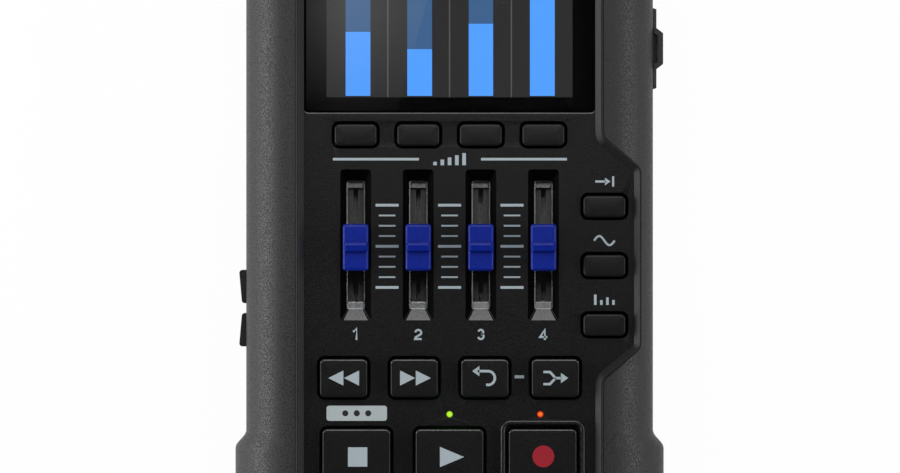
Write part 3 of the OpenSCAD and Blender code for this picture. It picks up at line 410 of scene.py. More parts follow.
def plastic(name, colour, rough, grain, depth, drift, speckle, level=0.5, metal=0.0, gloss=0.06):
    """Moulded or drawn surface: grain in bump, shade and roughness, drift in colour."""
    made, tree = blank_material(name)
    texture = effect(tree, "Moulded Grain", grain)
    cloud = effect(tree, "Slow Drift", 45.0)["Share"]
    broad = blended(tree, cloud, scaled(colour, 1 - drift), scaled(colour, 1 + drift))
    spots = blended(tree, texture["Shade"], scaled((1, 1, 1), 1 - speckle), (1, 1, 1, 1))
    both = {0: 1.0, 6: broad, 7: spots}
    tint = node(tree, "ShaderNodeMix", both, data_type="RGBA", blend_type="MULTIPLY")
    pits = {"Height": texture["Height"], "Distance": depth * MM, "Strength": 1.0}
    values = {
        "Base Color": tint.outputs[2],
        "Roughness": ramp(tree, texture["Shade"], 0.0, 1.0, rough - gloss, rough + gloss),
        "Normal": node(tree, "ShaderNodeBump", pits).outputs[0],
        "Specular IOR Level": level,
        "Metallic": metal,
    }
    return surfaced(made, values)


def glass(name, colour, rough):
    """Clear plastic window with a coat against reflections."""
    made, tree = blank_material(name)
    cloud = effect(tree, "Slow Drift", 60.0)["Share"]
    values = {
        "Base Color": blended(tree, cloud, scaled(colour, 0.98), scaled(colour, 1.0)),
        "Roughness": ramp(tree, cloud, 0.0, 1.0, rough * 0.6, rough * 1.4),
        "Transmission Weight": 1.0,
        "IOR": 1.05,
    }
    return surfaced(made, values)


def glowing(name, colour, strength, cells=0.0):
    """Lit surface of a display with its picture cells, or of a light with its hot core."""
    made, tree = blank_material(name)
    if cells:
        share = effect(tree, "Picture Cells", cells)["Mask"]
        tint = blended(tree, share, scaled(colour, 0.72), scaled(colour, 1.0))
    else:
        share = node(tree, "ShaderNodeLayerWeight", {"Blend": 0.7}).outputs["Facing"]
        hot = (colour[0], min(colour[1] + 0.15, 1.0), colour[2] + 0.02, 1.0)
        core = blended(tree, sums(tree, "MULTIPLY", share, 4.0), hot, scaled(colour, 1.15))
        tint = blended(tree, share, core, scaled(colour, 0.12))
    values = {
        "Base Color": (0.003, 0.003, 0.003, 1),
        "Roughness": 0.5,
        "Specular IOR Level": 0.0,
        "Emission Color": tint,
        "Emission Strength": strength,
    }
    return surfaced(made, values)


def painted_reflection_film(name, strength):
    """All but clear film that glows with a painted reflection, a soft sheen across the window."""
    made, tree = blank_material(name)
    share = effect(tree, "Slanted Sheen", 1.0)["Share"]
    values = {
        "Base Color": (0, 0, 0, 1),
        "Specular IOR Level": 0.0,
        "Alpha": 0.02,
        "Emission Color": blended(tree, share, (0, 0, 0, 1), (1, 1, 1, 1)),
        "Emission Strength": strength,
    }
    return surfaced(made, values)


def colour_property(title, description, default):
    """A linear colour that the user can change."""
    return bpy.props.FloatVectorProperty(
        name=title, description=description, default=default, subtype="COLOR", min=0.0, max=1.0, size=3
    )


def length_property(title, description, default):
    """A length that the user can change, given in millimetres."""
    return bpy.props.FloatProperty(
        name=title, description=description, default=default * MM, unit="LENGTH", precision=5, min=0.0
    )


def power_property(title, description, default):
    """Power of a light that the user can change."""
    return bpy.props.FloatProperty(name=title, description=description, default=default, subtype="POWER")


class RecorderSizes(bpy.types.PropertyGroup):
    """Small sizes of the recorder's finish"""

    mould_edge: length_property("Mould Edge", "Radius of the edges round the panel's openings", 0.15)
    key_edge: length_property("Key Edge", "Radius of the push keys' upper edges", 0.3)
    key_crown: length_property("Key Crown", "How far a push key's face rises to its middle", 0.05)
    cap_edge: length_property("Cap Edge", "Radius of the fader caps' upper edges", 0.45)
    ridge_edge: length_property("Ridge Edge", "Radius of the finger ridge's edges", 0.06)
    print_height: length_property("Print Height", "How far prints stand above their surface", 0.015)
    number_height: length_property("Number Height", "Height of the track numbers", 1.8)
    tick_pitch: length_property("Tick Pitch", "Distance between the scale's ticks", 1.7)
    tick_width: length_property("Tick Width", "Width of the scale's long ticks", 3.8)
    tick_line: length_property("Tick Line", "Thickness of the scale's long ticks", 0.44)


class RecorderColours(bpy.types.PropertyGroup):
    """Colours of the recorder's finish"""

    grip: colour_property("Grip", "Grained plastic of the case", (0.018, 0.018, 0.0183))
    panel: colour_property("Panel", "Control panel", (0.0075, 0.0073, 0.0082))
    key: colour_property("Key", "Push keys", (0.0076, 0.0075, 0.0081))
    cap: colour_property("Cap", "Fader caps", (0.0018, 0.0165, 0.28))
    print: colour_property("Print", "Printed marks", (0.45, 0.53, 0.57))
    plate: colour_property("Plate", "Printed plate beside the transport keys", (0.5, 0.56, 0.57))
    record: colour_property("Record Mark", "Mark on the record key", (0.39, 0.013, 0.029))
    picture: colour_property("Picture", "Dark ground of the display", (0.031, 0.031, 0.032))
    bar_lit: colour_property("Lit Bar", "Lit part of a level bar", (0.0887, 0.3515, 1.0))
    bar_dim: colour_property("Dim Bar", "Unlit part of a level bar", (0.051, 0.122, 0.26))
    divider: colour_property("Divider", "Lines between the level bars", (0.11, 0.11, 0.11))
    play_light: colour_property("Play Light", "Glow of the play light", (0.5, 0.9, 0.03))
    record_light: colour_property("Record Light", "Glow of the record light", (1.0, 0.06, 0.01))


class RecorderStage(bpy.types.PropertyGroup):
    """Camera and light"""

    camera_height: bpy.props.FloatProperty(
        name="Camera Height", description="Height of the camera above the panel", default=3.4, unit="LENGTH"
    )
    view_width: length_property("View Width", "Width of what the camera sees at the panel", 148.8)
    left_light: power_property("Left Light", "Power of the large light at the left", 18.0)
    right_light: power_property("Right Light", "Power of the light at the right", 9.8)
    head_light: power_property("Head Light", "Power of the light beyond the head", 0.41)


def length(name):
    """One of the user's sizes, in millimetres."""
    return getattr(bpy.context.scene.recorder_sizes, name) / MM


def finish_of(name):
    """The finish of that name, made once from the user's colours."""
    made = bpy.data.materials.get(name)
    if made:
        return made
    tone = bpy.context.scene.recorder_colours
    if name == "Clear Window":
        return glass(name, (0.93, 0.93, 0.94), 0.002)
    # The window's sheen is a painted reflection on a glowing film
    if name == "Window Sheen":
        return painted_reflection_film(name, 1.2)
    if name in GLOWS:
        colour, strength, cells = GLOWS[name]
        return glowing(name, getattr(tone, colour), strength, cells)
    look = dict(SURFACES[name])
    colour = look.pop("colour")
    return plastic(name, getattr(tone, colour) if isinstance(colour, str) else colour, **look)


PICTURE_CELLS = 7843.0
GLOWS = {
    "Picture Ground": ("picture", 1.0, PICTURE_CELLS),
    "Lit Bar": ("bar_lit", 1.12, PICTURE_CELLS),
    "Dim Bar": ("bar_dim", 1.12, PICTURE_CELLS),
    "Divider": ("divider", 1.0, PICTURE_CELLS),
    "Play Glow": ("play_light", 1.0, 0.0),
    "Record Glow": ("record_light", 1.0, 0.0),
}
PRINT = {"rough": 0.6, "grain": 9000, "depth": 0.002, "drift": 0.06, "speckle": 0.1, "level": 0.3}
METAL = {"rough": 0.36, "grain": 2600, "depth": 0.006, "drift": 0.1, "speckle": 0.2, "metal": 1.0}
SATIN = {"rough": 0.36, "grain": 5000, "depth": 0.006, "drift": 0.06, "speckle": 0.3, "level": 0.4}
GRAINED = {**SATIN, "rough": 0.54, "grain": 4600, "depth": 0.02, "speckle": 0.6, "level": 0.65, "gloss": 0.18}
SURFACES = {
    "Grained Grip": {"colour": "grip", **GRAINED},
    "Satin Panel": {"colour": "panel", **SATIN, "depth": 0.016, "speckle": 0.6, "level": 0.3},
    "Polished Slot": {"colour": (0.002, 0.002, 0.002), **SATIN, "rough": 0.2, "depth": 0.0004, "level": 0.9},
    "Panel Rim": {"colour": "panel", **SATIN, "rough": 0.46, "level": 0.3},
    "Guard Band": {"colour": "panel", **SATIN, "rough": 0.3, "level": 0.85},
    # Near black and all but unreflecting: painted shade on the walls of the fader slots and the window's
    # pocket
    "Slot Wall": {"colour": (0.001, 0.001, 0.001), **SATIN, "rough": 0.5, "level": 0.02},
    "Satin Key": {"colour": "key", **SATIN, "level": 0.3},
    # More strongly reflecting copy of the key finish, put only on edges that face the head light: a
    # strengthened highlight
    "Key Edge": {"colour": "key", **SATIN, "rough": 0.3, "level": 1.0},
    "Side Key": {"colour": (0.016, 0.016, 0.0165), **SATIN, "rough": 0.45},
    "Blue Cap": {"colour": "cap", **SATIN, "rough": 0.32, "depth": 0.003, "speckle": 0.12, "level": 0.3},
    "Printed Mark": {"colour": "print", **PRINT},
    "Printed Plate": {"colour": "plate", **PRINT},
    "Dark Mark": {"colour": (0.02, 0.02, 0.021), **PRINT},
    "Record Mark": {"colour": "record", **PRINT},
    "Black Plastic": {"colour": (0.011, 0.011, 0.0115), **SATIN, "rough": 0.45, "depth": 0.01},
    # Black print under the window's border, also put on the pane's edges as painted shade in the gap round
    # the window
    "Dark Mask": {"colour": (0.005, 0.005, 0.0053), **PRINT, "level": 0.0},
    "Drawn Steel": {"colour": (0.46, 0.47, 0.48), **METAL},
    "Dark Steel": {"colour": (0.06, 0.06, 0.062), **METAL, "rough": 0.4},
    "Brass": {"colour": (0.62, 0.44, 0.18), **METAL, "rough": 0.32},
    "Contact Strip": {"colour": (0.085, 0.082, 0.078), **SATIN, "rough": 0.5, "grain": 2200},
    "Green Board": {"colour": (0.012, 0.08, 0.036), **SATIN, "rough": 0.4, "grain": 2000},
    "Cell Wrap": {"colour": (0.06, 0.062, 0.066), **SATIN, "rough": 0.3, "speckle": 0.08},
    "Black Rubber": {"colour": (0.014, 0.014, 0.014), **SATIN, "rough": 0.8, "depth": 0.02},
}

# Solids that keep their shape: their finish, and the slot of a smoothed copy where they have rounds
SOLIDS = (
    ("Grained Grip", "grip", ("front_shell", "rear_shell", "battery_cover")),
    ("Grained Grip", "black_plastic", ("slider_plate",)),
    ("Grained Grip", "key", ("power_slider",)),
    ("Side Key", "key", ("volume_up_key", "volume_down_key")),
    ("Black Plastic", "black_plastic", ("left_jack", "right_jack", "phones_jack")),
    ("Black Plastic", None, ("key_switches", "slide_switch")),
    ("Drawn Steel", "metal", [f"fader_pot_{n}" for n in TRACKS]),
    ("Drawn Steel", None, [f"fader_lever_{n}" for n in TRACKS]),
    ("Drawn Steel", "metal", ("usb_port", "battery_contacts", "case_screws")),
    ("Drawn Steel", None, ("card_socket", "lcd_module")),
    ("Dark Steel", "grille", ("left_mic_grille", "right_mic_grille")),
    ("Brass", "insert", ("tripod_insert",)),
    ("Brass", "metal", ("left_mic_capsule", "right_mic_capsule")),
    ("Contact Strip", None, ("fader_strips",)),
    ("Green Board", None, ("main_board", "jack_board")),
    ("Cell Wrap", "cell", ("batteries",)),
    ("Black Rubber", "foot", ("rubber_feet",)),
)


class RECORDER_OT_solids(bpy.types.Operator):
    """Finish the solids that keep their shape, and smooth those with rounds"""

    bl_idname = "recorder.solids"
    bl_label = "Finish Solids"

    def execute(self, context):
        for finish, slot, nodes in SOLIDS:
            for name in nodes:
                solid = frame["nodes"][name]
                solid.data.materials.clear()
                solid.data.materials.append(finish_of(finish))
                if slot:
                    self.smooth(solid, name, finish, slot)
        return {"FINISHED"}

    @staticmethod
    def smooth(solid, name, finish, slot):
        """A welded copy with smooth rounds stands for the faceted solid."""
        bm = bmesh.new()
        bm.from_mesh(solid.data)
        for vert in bm.verts:
            vert.co /= MM
        bmesh.ops.remove_doubles(bm, verts=bm.verts, dist=1e-3)
        bmesh.ops.dissolve_limit(
            bm, angle_limit=math.radians(0.3), verts=bm.verts, edges=bm.edges, use_dissolve_boundaries=False
        )
        if name.startswith("fader_pot"):
            sharp = [e for e in bm.edges if len(e.link_faces) == 2 and e.calc_face_angle() > 1.0]
            bmesh.ops.bevel(bm, geom=sharp, offset=0.1, segments=2, profile=0.5, affect="EDGES")
        bmesh.ops.triangulate(bm, faces=[f for f in bm.faces if len(f.verts) > 4])
        piece(f"{name}_body", bm, finish, BODY_OF[name], slot, name, angle=35, firm=True)


def panel_corners():
    """Corners of the panel: a long plate with the function key bay on its right."""
    low, high = millimetres("control_panel")
    half, y, r = -low.x, BAY["y"], BAY["corner"]
    root, edge = BAY["root"] / 2, BAY["edge"] / 2
    foot = [(-half, low.y, PANEL_CORNER), (half, low.y, PANEL_CORNER)]
    bay = [(half, y - root, r), (high.x, y - edge, r), (high.x, y + edge, r), (half, y + root, r)]
    return foot + bay + [(half, high.y, PANEL_CORNER), (-half, high.y, PANEL_CORNER)]


def key_corners(name, grow=0.0):
    """Corners of a push key in plan, or of a rectangle that much larger all round."""
    low, high = millimetres(name)
    reach = 2 * (KEY_GAP + KEY_FLANGE - grow)
    return box_corners(high.x - low.x - reach, high.y - low.y - reach, KEY_CORNER + grow, middle(name))


class RECORDER_OT_panel(bpy.types.Operator):
    """Make the control panel with its rim, slots, key holes, window and record guard"""

    bl_idname = "recorder.panel"
    bl_label = "Control Panel"

    def execute(self, context):
        low, high = millimetres("control_panel")
        self.under, self.top = low.z, high.z - RIM_H
        self.edge = length("mould_edge")
        self.mouths, self.exits = [], []
        bm = bmesh.new()
        for name in SMALL_KEYS + LARGE_KEYS:
            self.hole(bm, self.straight(key_corners(name, KEY_GAP)))
        self.hole(bm, [(key_corners(GUARDED_KEY, KEY_GAP), z) for z in (self.top, self.under)])
        for n in TRACKS:
            self.slot(bm, n)
        self.window(bm)
        for name in LIGHTS:
            self.hole(bm, self.straight(disc(LIGHT_R + LIGHT_GAP, middle(name)), 0.08))
        outline = panel_corners()
        holed_face(bm, self.rim(bm, outline), self.mouths, True)
        holed_face(bm, ring(outline, self.under), self.exits, False)
        self.guard(bm)
        piece("panel", bm, PANEL_FINISHES, ROOT, "panel", "control_panel", angle=42, firm=True)
        return {"FINISHED"}

    def straight(self, corners, edge=None):
        """Levels of a straight hole with a rounded mouth."""
        edge = edge or self.edge
        mouth = [(inset(corners, edge * (along - 1)), self.top - edge * back) for back, along in quarter(4)]
        return mouth + [(corners, self.under)]

    def hole(self, bm, levels, pick=None):
        """Walls of an opening from the panel's face down."""
        rings = rings_of(levels)
        skin(bm, rings, (False, False), pick=pick)
        self.mouths.append(rings[0])
        self.exits.append(rings[-1])

    def slot(self, bm, n):
        """Fader slot that narrows from the panel's face to its floor, polished at its lower end, its other
        walls near black and all but unreflecting as painted shade.
        """
        at = middle(f"fader_pot_{n}")
        face = box_corners(*SLOT_FACE, at)
        floor = box_corners(*SLOT_FLOOR, at)
        e, foot = self.edge / 3, self.top - SLOT_BEVEL
        mouth = [(inset(face, -e), self.top), (face, self.top - 1.2 * e)]
        throat = [(inset(floor, -0.06), foot + 0.05), (floor, foot - 0.06), (floor, self.under)]
        self.hole(bm, mouth + throat, lambda f: POLISHED if f.normal.y > abs(f.normal.x) else SHADED_WALL)

    def window(self, bm):
        """Pocket of the display window, bevelled at its ends, with the opening over the display."""
        low, high = millimetres("display_lens")
        at = middle("display_lens")
        w, h = high.x - low.x + 2 * LENS_GAP, high.y - low.y + 2 * LENS_GAP
        opening, floor = box_corners(*WINDOW, at), low.z - 0.05
        levels = []
        for wider, longer, z in WINDOW_MOUTH:
            levels.append((box_corners(w + wider, h + longer, WINDOW[2], at), self.top + z))
        levels += [(levels[-1][0], floor), (opening, floor), (opening, self.under)]

        def pick(wall):
            if wall.calc_center_median().z > self.top - 0.01:
                return PLATE
            # Upright walls of the pocket take the near-black finish, painted shade
            return BAND if 0.5 < wall.normal.z < 0.95 else SHADED_WALL

        self.hole(bm, levels, pick)

    def rim(self, bm, outline):
        """Raised rim: a slope from the plate to a narrow crest, then the outer wall."""
        rise = RIM_H
        profile = [
            (RIM_W - 0.1, 0.0), (RIM_W - 0.11, 0.1), (RIM_W - 0.16, 0.14), (CREST_W + 0.14, rise - 0.1),
            (CREST_W + 0.05, rise - 0.03), (CREST_W - 0.04, rise), (0.16, rise), (0.05, rise - 0.03),
            (-0.04, rise - 0.1), (-0.09, rise - 0.2), (-0.12, rise - 0.34), (-0.12, -0.2), (0.0, -0.3),
            (0.0, self.under - self.top),
        ]
        rings = rings_of([(inset(outline, d), self.top + z) for d, z in profile])
        skin(bm, rings[::-1], (False, False), pick=lambda face: RIM)
        return rings[0]

    def guard(self, bm):
        """Raised guard round the record key, a closed band on the plate."""
        foot = box_corners(*GUARD, middle(GUARDED_KEY))
        top, crest, e = self.top, self.top + RIM_H, self.edge * 1.5
        levels = [(foot, top - 0.02), (foot, top + 0.02)]
        levels += [(inset(foot, GUARD_DRAFT + e * b), crest - e + e * a) for b, a in quarter(4)]
        levels += [(inset(foot, GUARD_BAND - e * b), crest - e + e * a) for b, a in quarter(4)[::-1]]
        levels.append((inset(foot, GUARD_BAND), top - 0.02))
        skin(bm, rings_of(levels), looped=True, pick=lambda face: BAND)


class RECORDER_OT_keys(bpy.types.Operator):
    """Make the push keys with rounded edges and a slight crown"""

    bl_idname = "recorder.keys"
    bl_label = "Push Keys"

    def execute(self, context):
        edge, crown = length("key_edge"), length("key_crown")
        under = millimetres("control_panel")[0].z
        for name in PUSH_KEYS:
            top = millimetres(name)[1].z
            corners = key_corners(name)
            levels = [(corners, under - 0.5), *rolled(corners, edge, top - crown)]
            reach = (corners[2][1] - corners[0][1]) / 2 - edge - 0.05
            for share in (0.12, 0.3, 0.55, 0.8, 1.0):
                levels.append((inset(corners, edge + reach * share), top - crown * (1 - share) ** 2))
            bm = skinned(levels, pick=None if name in SMALL_KEYS else self.highlighted_edge)
            finishes = ("Satin Key", "Key Edge")
            piece(f"{name}_top", bm, finishes, BODY_OF[name], "key", name, angle=50, firm=True)
        return {"FINISHED"}

    @staticmethod
    def highlighted_edge(face):
        """Finish of a large key's face: a more strongly reflecting copy where it rounds off towards the head
        light, which strengthens the highlight there.
        """
        return int(min(face.normal.y, face.normal.z) > 0.12)


class RECORDER_OT_caps(bpy.types.Operator):
    """Make the fader caps: tapered blocks with a finger ridge"""

    bl_idname = "recorder.caps"
    bl_label = "Fader Caps"

    def execute(self, context):
        for n in TRACKS:
            name = f"fader_cap_{n}"
            low, high = millimetres(name)
            at = middle(name)
            foot = box_corners(high.x - low.x, high.y - low.y, CAP_CORNER, at)
            top = high.z - RIDGE_H
            levels = [(inset(foot, d), low.z + z) for d, z in ((0.14, 0.0), (CAP_DRAFT, 0.04), (0.0, 0.14))]
            levels += rolled(inset(foot, CAP_DRAFT), length("cap_edge"), top)
            bm = skinned(levels)
            self.ridge(bm, at, (high.x - low.x) / 2, top, length("ridge_edge"))
            piece(f"{name}_body", bm, "Blue Cap", BODY_OF[name], "cap", name, angle=45, firm=True)
        return {"FINISHED"}

    @staticmethod
    def ridge(bm, at, half, top, edge):
        """Ridge across a cap: steep behind, with a slope towards the display."""
        x, y = at
        levels = [
            (half - 0.22, -0.8, 0.95, top - 0.12, 0.0),
            (half - 0.26, -0.7, 0.9, top, 0.0),
            (half - 0.38, -0.62, 0.8, top + RIDGE_H - 0.22, 0.1),
            (half - 0.44, -0.54, 0.4, top + RIDGE_H, 0.12),
        ]
        rows = []
        for w, back, ahead, z, fall in levels:
            corners = ((-w, back, fall), (w, back, fall), (w, ahead, 0), (-w, ahead, 0))
            rows.append([Vector((x + a, y + b, z - c)) for a, b, c in corners])
        part = bmesh.new()
        skin(part, rows)
        upper = [e for e in part.edges if max(v.co.z for v in e.verts) > top + 0.5]
        bmesh.ops.bevel(part, geom=upper, offset=edge, segments=3, profile=0.5, affect="EDGES")
        spare = bpy.data.meshes.new("ridge")
        part.to_mesh(spare)
        part.free()
        bm.from_mesh(spare)
        bpy.data.meshes.remove(spare)


class RECORDER_OT_display(bpy.types.Operator):
    """Make the display: window, dark border and level bars"""

    bl_idname = "recorder.display"
    bl_label = "Display"

    left, right, low, high = -20.35, 20.35, 26.54, 57.14
    bars = ((-17.2, -13.1, 37.35), (-7.0, -2.9, 34.5), (3.17, 7.2, 38.7), (13.3, 17.4, 46.4))
    floor, full = 26.77, 52.2
    dividers = (-10.22, 0.0, 10.22)

    def execute(self, context):
        start, stop = millimetres("display_lens")
        at = middle("display_lens")
        outline = inset(box_corners(stop.x - start.x, stop.y - start.y, WINDOW[2], at), 0.1)
        levels = [(outline, start.z), *rolled(outline, PANE_EDGE, stop.z, 4)]
        # The pane's edge faces take the black mask finish: painted shade in the gap round the window
        bm = skinned(levels, pick=lambda face: int(abs(face.normal.z) < 0.95))
        piece("window", bm, ("Clear Window", "Dark Mask"), ROOT, "lens", "display_lens", firm=True)

        mid = (self.left + self.right) / 2, (self.low + self.high) / 2
        view = box_corners(self.right - self.left, self.high - self.low, 0.05, mid)
        border, z = inset(outline, 0.05), start.z
        levels = [(border, z - 0.03), (border, z - 0.01), (view, z - 0.01), (view, z - 0.03)]
        piece("window_border", skinned(levels, looped=True), "Dark Mask", ROOT, "lens")

        # Painted reflection: an all but clear film just under the window glows as a soft slanted sheen
        x, low, high = border[0][0] + 0.1, border[0][1] + 0.1, border[2][1] - 0.1
        start_x, start_y = SHEEN_FOOT
        slant = [(start_x + (y - start_y) * SHEEN_LEAN, y) for y in (low, high)]
        bm = bmesh.new()
        prism(bm, [(x, low), *slant, (x, high)], z - 0.008, z - 0.004)
        piece("window_sheen", bm, "Window Sheen", ROOT, "lens")

        face = millimetres("lcd_module")[1].z
        upper, end = face + 0.02, self.full + 1.0
        ground = (self.left - 0.3, self.low - 0.3, self.right + 0.3, self.high + 0.3)
        self.patch("picture", "Picture Ground", [ground], face)
        self.patch("bars_dim", "Dim Bar", [(a, top, b, self.full) for a, b, top in self.bars], upper)
        self.patch("bars_lit", "Lit Bar", [(a, self.floor, b, top) for a, b, top in self.bars], upper)
        lines = [(x - 0.1, self.low, x + 0.1, end) for x in self.dividers]
        self.patch("dividers", "Divider", [*lines, (self.left, end, self.right, end + 0.2)], upper)
        return {"FINISHED"}

    @staticmethod
    def patch(name, finish, spans, z):
        """Flat lit areas on the display's face."""
        bm = bmesh.new()
        for span in spans:
            slab(bm, *span, z, z + 0.015)
        piece(name, bm, finish, ROOT, "lcd")


class RECORDER_OT_lights(bpy.types.Operator):
    """Make the two indicator lights as small glowing domes"""

    bl_idname = "recorder.lights"
    bl_label = "Indicator Lights"

    def execute(self, context):
        face = millimetres("control_panel")[1].z - RIM_H
        for name, finish, slot in zip(LIGHTS, ("Play Glow", "Record Glow"), ("play_light", "record_light")):
            at = middle(name)
            levels = [(disc(LIGHT_R, at), millimetres(name)[0].z)]
            for back, along in quarter():
                levels.append((disc(LIGHT_R * (1 - 0.98 * back), at), face - LIGHT_RISE * (1 - along)))
            piece(f"{name}_dome", skinned(levels), finish, ROOT, slot, name)
        return {"FINISHED"}


def geometry_group(name, **inputs):
    """A geometry node group with named inputs, and what they give inside it."""
    tree = bpy.data.node_groups.new(name, "GeometryNodeTree")
    for title, kind in inputs.items():
        title = title.replace("_", " ")
        tree.interface.new_socket(title, in_out="INPUT", socket_type=f"NodeSocket{kind}")
    tree.interface.new_socket("Geometry", in_out="OUTPUT", socket_type="NodeSocketGeometry")
    return tree, node(tree, "NodeGroupInput").outputs


def spread(tree, finish, copies, offset=(0, 0, 0)):
    """The tree ends with copies on points, made real, moved and given their finish."""
    made = node(tree, "GeometryNodeInstanceOnPoints", copies).outputs[0]
    real = node(tree, "GeometryNodeRealizeInstances", {0: made}).outputs[0]
    placed = node(tree, "GeometryNodeSetPosition", {"Geometry": real, "Offset": offset}).outputs[0]
    dressed = node(tree, "GeometryNodeSetMaterial", {"Geometry": placed, "Material": finish}).outputs[0]
    node(tree, "NodeGroupOutput", {0: dressed})
    return tree


def scale_tree(finish):
    """Geometry nodes: a field of ticks in columns, each fourth one long."""
    tree, given = geometry_group(
        "Scale Ticks", Columns="Int", Rows="Int", Column_Pitch="Float", Row_Pitch="Float",
        Width="Float", Line="Float", Height="Float", Middle="Vector",
    )
    grid = {"Vertices X": given["Columns"], "Vertices Y": given["Rows"]}
    for axis, count, pitch in (("Size X", "Columns", "Column Pitch"), ("Size Y", "Rows", "Row Pitch")):
        grid[axis] = sums(tree, "MULTIPLY", sums(tree, "SUBTRACT", given[count], 1.0), given[pitch])
    field = node(tree, "GeometryNodeMeshGrid", grid).outputs[0]
    size = node(tree, "ShaderNodeCombineXYZ", {0: given["Width"], 1: given["Line"], 2: given["Height"]})
    tick = node(tree, "GeometryNodeMeshCube", {"Size": size.outputs[0]})
    order = node(tree, "GeometryNodeInputIndex").outputs[0]
    short = sums(tree, "GREATER_THAN", sums(tree, "MODULO", order, given["Rows"], 4.0), 0.5)
    sizes = {0: short, 4: (1.0, 1.0, 1.0), 5: (0.72, 0.62, 1.0)}
    size_of = node(tree, "ShaderNodeMix", sizes, data_type="VECTOR")
    ticks = {"Points": field, "Instance": tick.outputs[0], "Scale": size_of.outputs[1]}
    return spread(tree, finish, ticks, given["Middle"])


def fastener_tree(finish):
    """Geometry nodes: one screw head on each point."""
    tree, given = geometry_group("Screw Heads", Geometry="Geometry", Head="Object", Turn="Float")
    head = node(tree, "GeometryNodeObjectInfo", {"Object": given["Head"]})
    order = node(tree, "GeometryNodeInputIndex").outputs[0]
    way = node(tree, "ShaderNodeCombineXYZ", {2: sums(tree, "MULTIPLY", order, given["Turn"])}).outputs[0]
    heads = {"Points": given["Geometry"], "Instance": head.outputs["Geometry"], "Rotation": way}
    return spread(tree, finish, heads)


def grown(name, base, tree, values):
    """Plain mesh that a geometry node tree makes on a base mesh."""
    host = bpy.data.objects.new(name, base)
    bpy.context.scene.collection.objects.link(host)
    made = host.modifiers.new("Nodes", "NODES")
    made.node_group = tree
    for item in tree.interface.items_tree:
        if item.in_out == "INPUT" and item.name in values:
            made[item.identifier] = values[item.name]
    graph = bpy.context.evaluated_depsgraph_get()
    mesh = bpy.data.meshes.new_from_object(host.evaluated_get(graph))
    host.modifiers.clear()
    host.data = mesh
    mesh.name = name
    return host


def moved(points, at, size=1.0):
    """Flat points scaled and set about a place."""
    return [(at[0] + x * size, at[1] + y * size) for x, y in points]


def arc(r, start, stop, steps=18):
    """Flat points along an arc, in degrees."""
    turns = [math.radians(start + (stop - start) * k / steps) for k in range(steps + 1)]
    return [(r * math.cos(t), r * math.sin(t)) for t in turns]


BACK_TRIANGLE = [(-1.0, 0.0), (1.0, -1.0), (1.0, 1.0)]
AHEAD_TRIANGLE = [(1.0, 0.0), (-1.0, 1.0), (-1.0, -1.0)]
KEY_MARKS = {
    "rewind_key": [moved(BACK_TRIANGLE, (x, 0), 1.25) for x in (-1.3, 1.3)],
    "forward_key": [moved(AHEAD_TRIANGLE, (x, 0), 1.25) for x in (-1.1, 1.5)],
    "undo_key": [
        stroke([(0.2, -1.1), *moved(arc(1.15, -80, 90), (0.5, 0.0)), (-1.2, 1.15)], 0.42),
        [(-2.1, 1.15), (-0.9, 0.3), (-0.9, 2.0)],
    ],
    "bounce_key": [
        stroke([(-2.0, 1.0), (-0.9, 1.0), (0.0, 0.0), (1.0, 0.0)], 0.4),
        stroke([(-2.0, -1.0), (-0.9, -1.0), (0.0, 0.0)], 0.4),
        [(2.1, 0.0), (0.9, 0.85), (0.9, -0.85)],
    ],
    "stop_key": [[(-1.4, -1.6), (1.8, -1.6), (1.8, 1.6), (-1.4, 1.6)]],
    "play_key": [[(2.4, 0.0), (-1.6, 1.68), (-1.6, -1.68)]],
    "record_key": [moved(arc(1.8, 0, 352.5, 47), (0.1, 0.1))],
}
FUNCTION_MARKS = {
    "input_key": [
        stroke([(-1.5, 0.0), (0.3, 0.0)], 0.34),
        [(1.0, 0.0), (0.1, 0.62), (0.1, -0.62)],
        stroke([(1.45, -0.85), (1.45, 0.85)], 0.34),
    ],
    "effect_key": [
        stroke([(-1.7 + 3.4 * k / 32, 0.75 * math.sin(math.tau * k / 32)) for k in range(33)], 0.34),
    ],
    "rhythm_key": [
        stroke([(-1.5 + k, -0.85), (-1.5 + k, rise - 0.85)], 0.42)
        for k, rise in enumerate((1.7, 0.8, 1.25, 0.8))
    ],
}

# Places and sizes of the other prints, in millimetres
MARK_RISE = 4.15
MARK_SINK = 0.06
PRINT_SINK = 0.01
RULE_Y = 16.29
RULE_HALF = 0.21
RULES = ((-19.3, -5.07), (5.2, 19.4))
STEP_PITCH = 1.2
STEP_BARS = (0.56, 0.92, 1.28, 1.64, 2.0)
KEY_DASH = (10.76, -19.95, 12.31, -19.45)
PLATE_AT = (-15.35, -25.73)
PLATE_SIZE = (10.0, 2.5, 0.45)
DOT_R = 0.5
DOT_PITCH = 1.9
SCALE_PITCH = 10.33
SCALE_Y = 1.88
NUMBER_Y = -12.7
NUMBER_LINE = 0.33
NUMBERS = {
    1: [[(-0.52, 0.55), (0.0, 0.78), (0.14, 1.05), (0.14, -1.05)]],
    2: [[*moved(arc(0.58, 170, -20), (0.0, 0.3)), (-0.5, -0.55), (-0.62, -0.88), (0.66, -0.88)]],
    3: [moved(arc(0.46, 165, -85), (0.0, 0.44)), moved(arc(0.53, 85, -165), (0.0, -0.36))],
    4: [[(0.74, -0.5), (-0.66, -0.5), (0.26, 0.88), (0.26, -1.05)]],
}


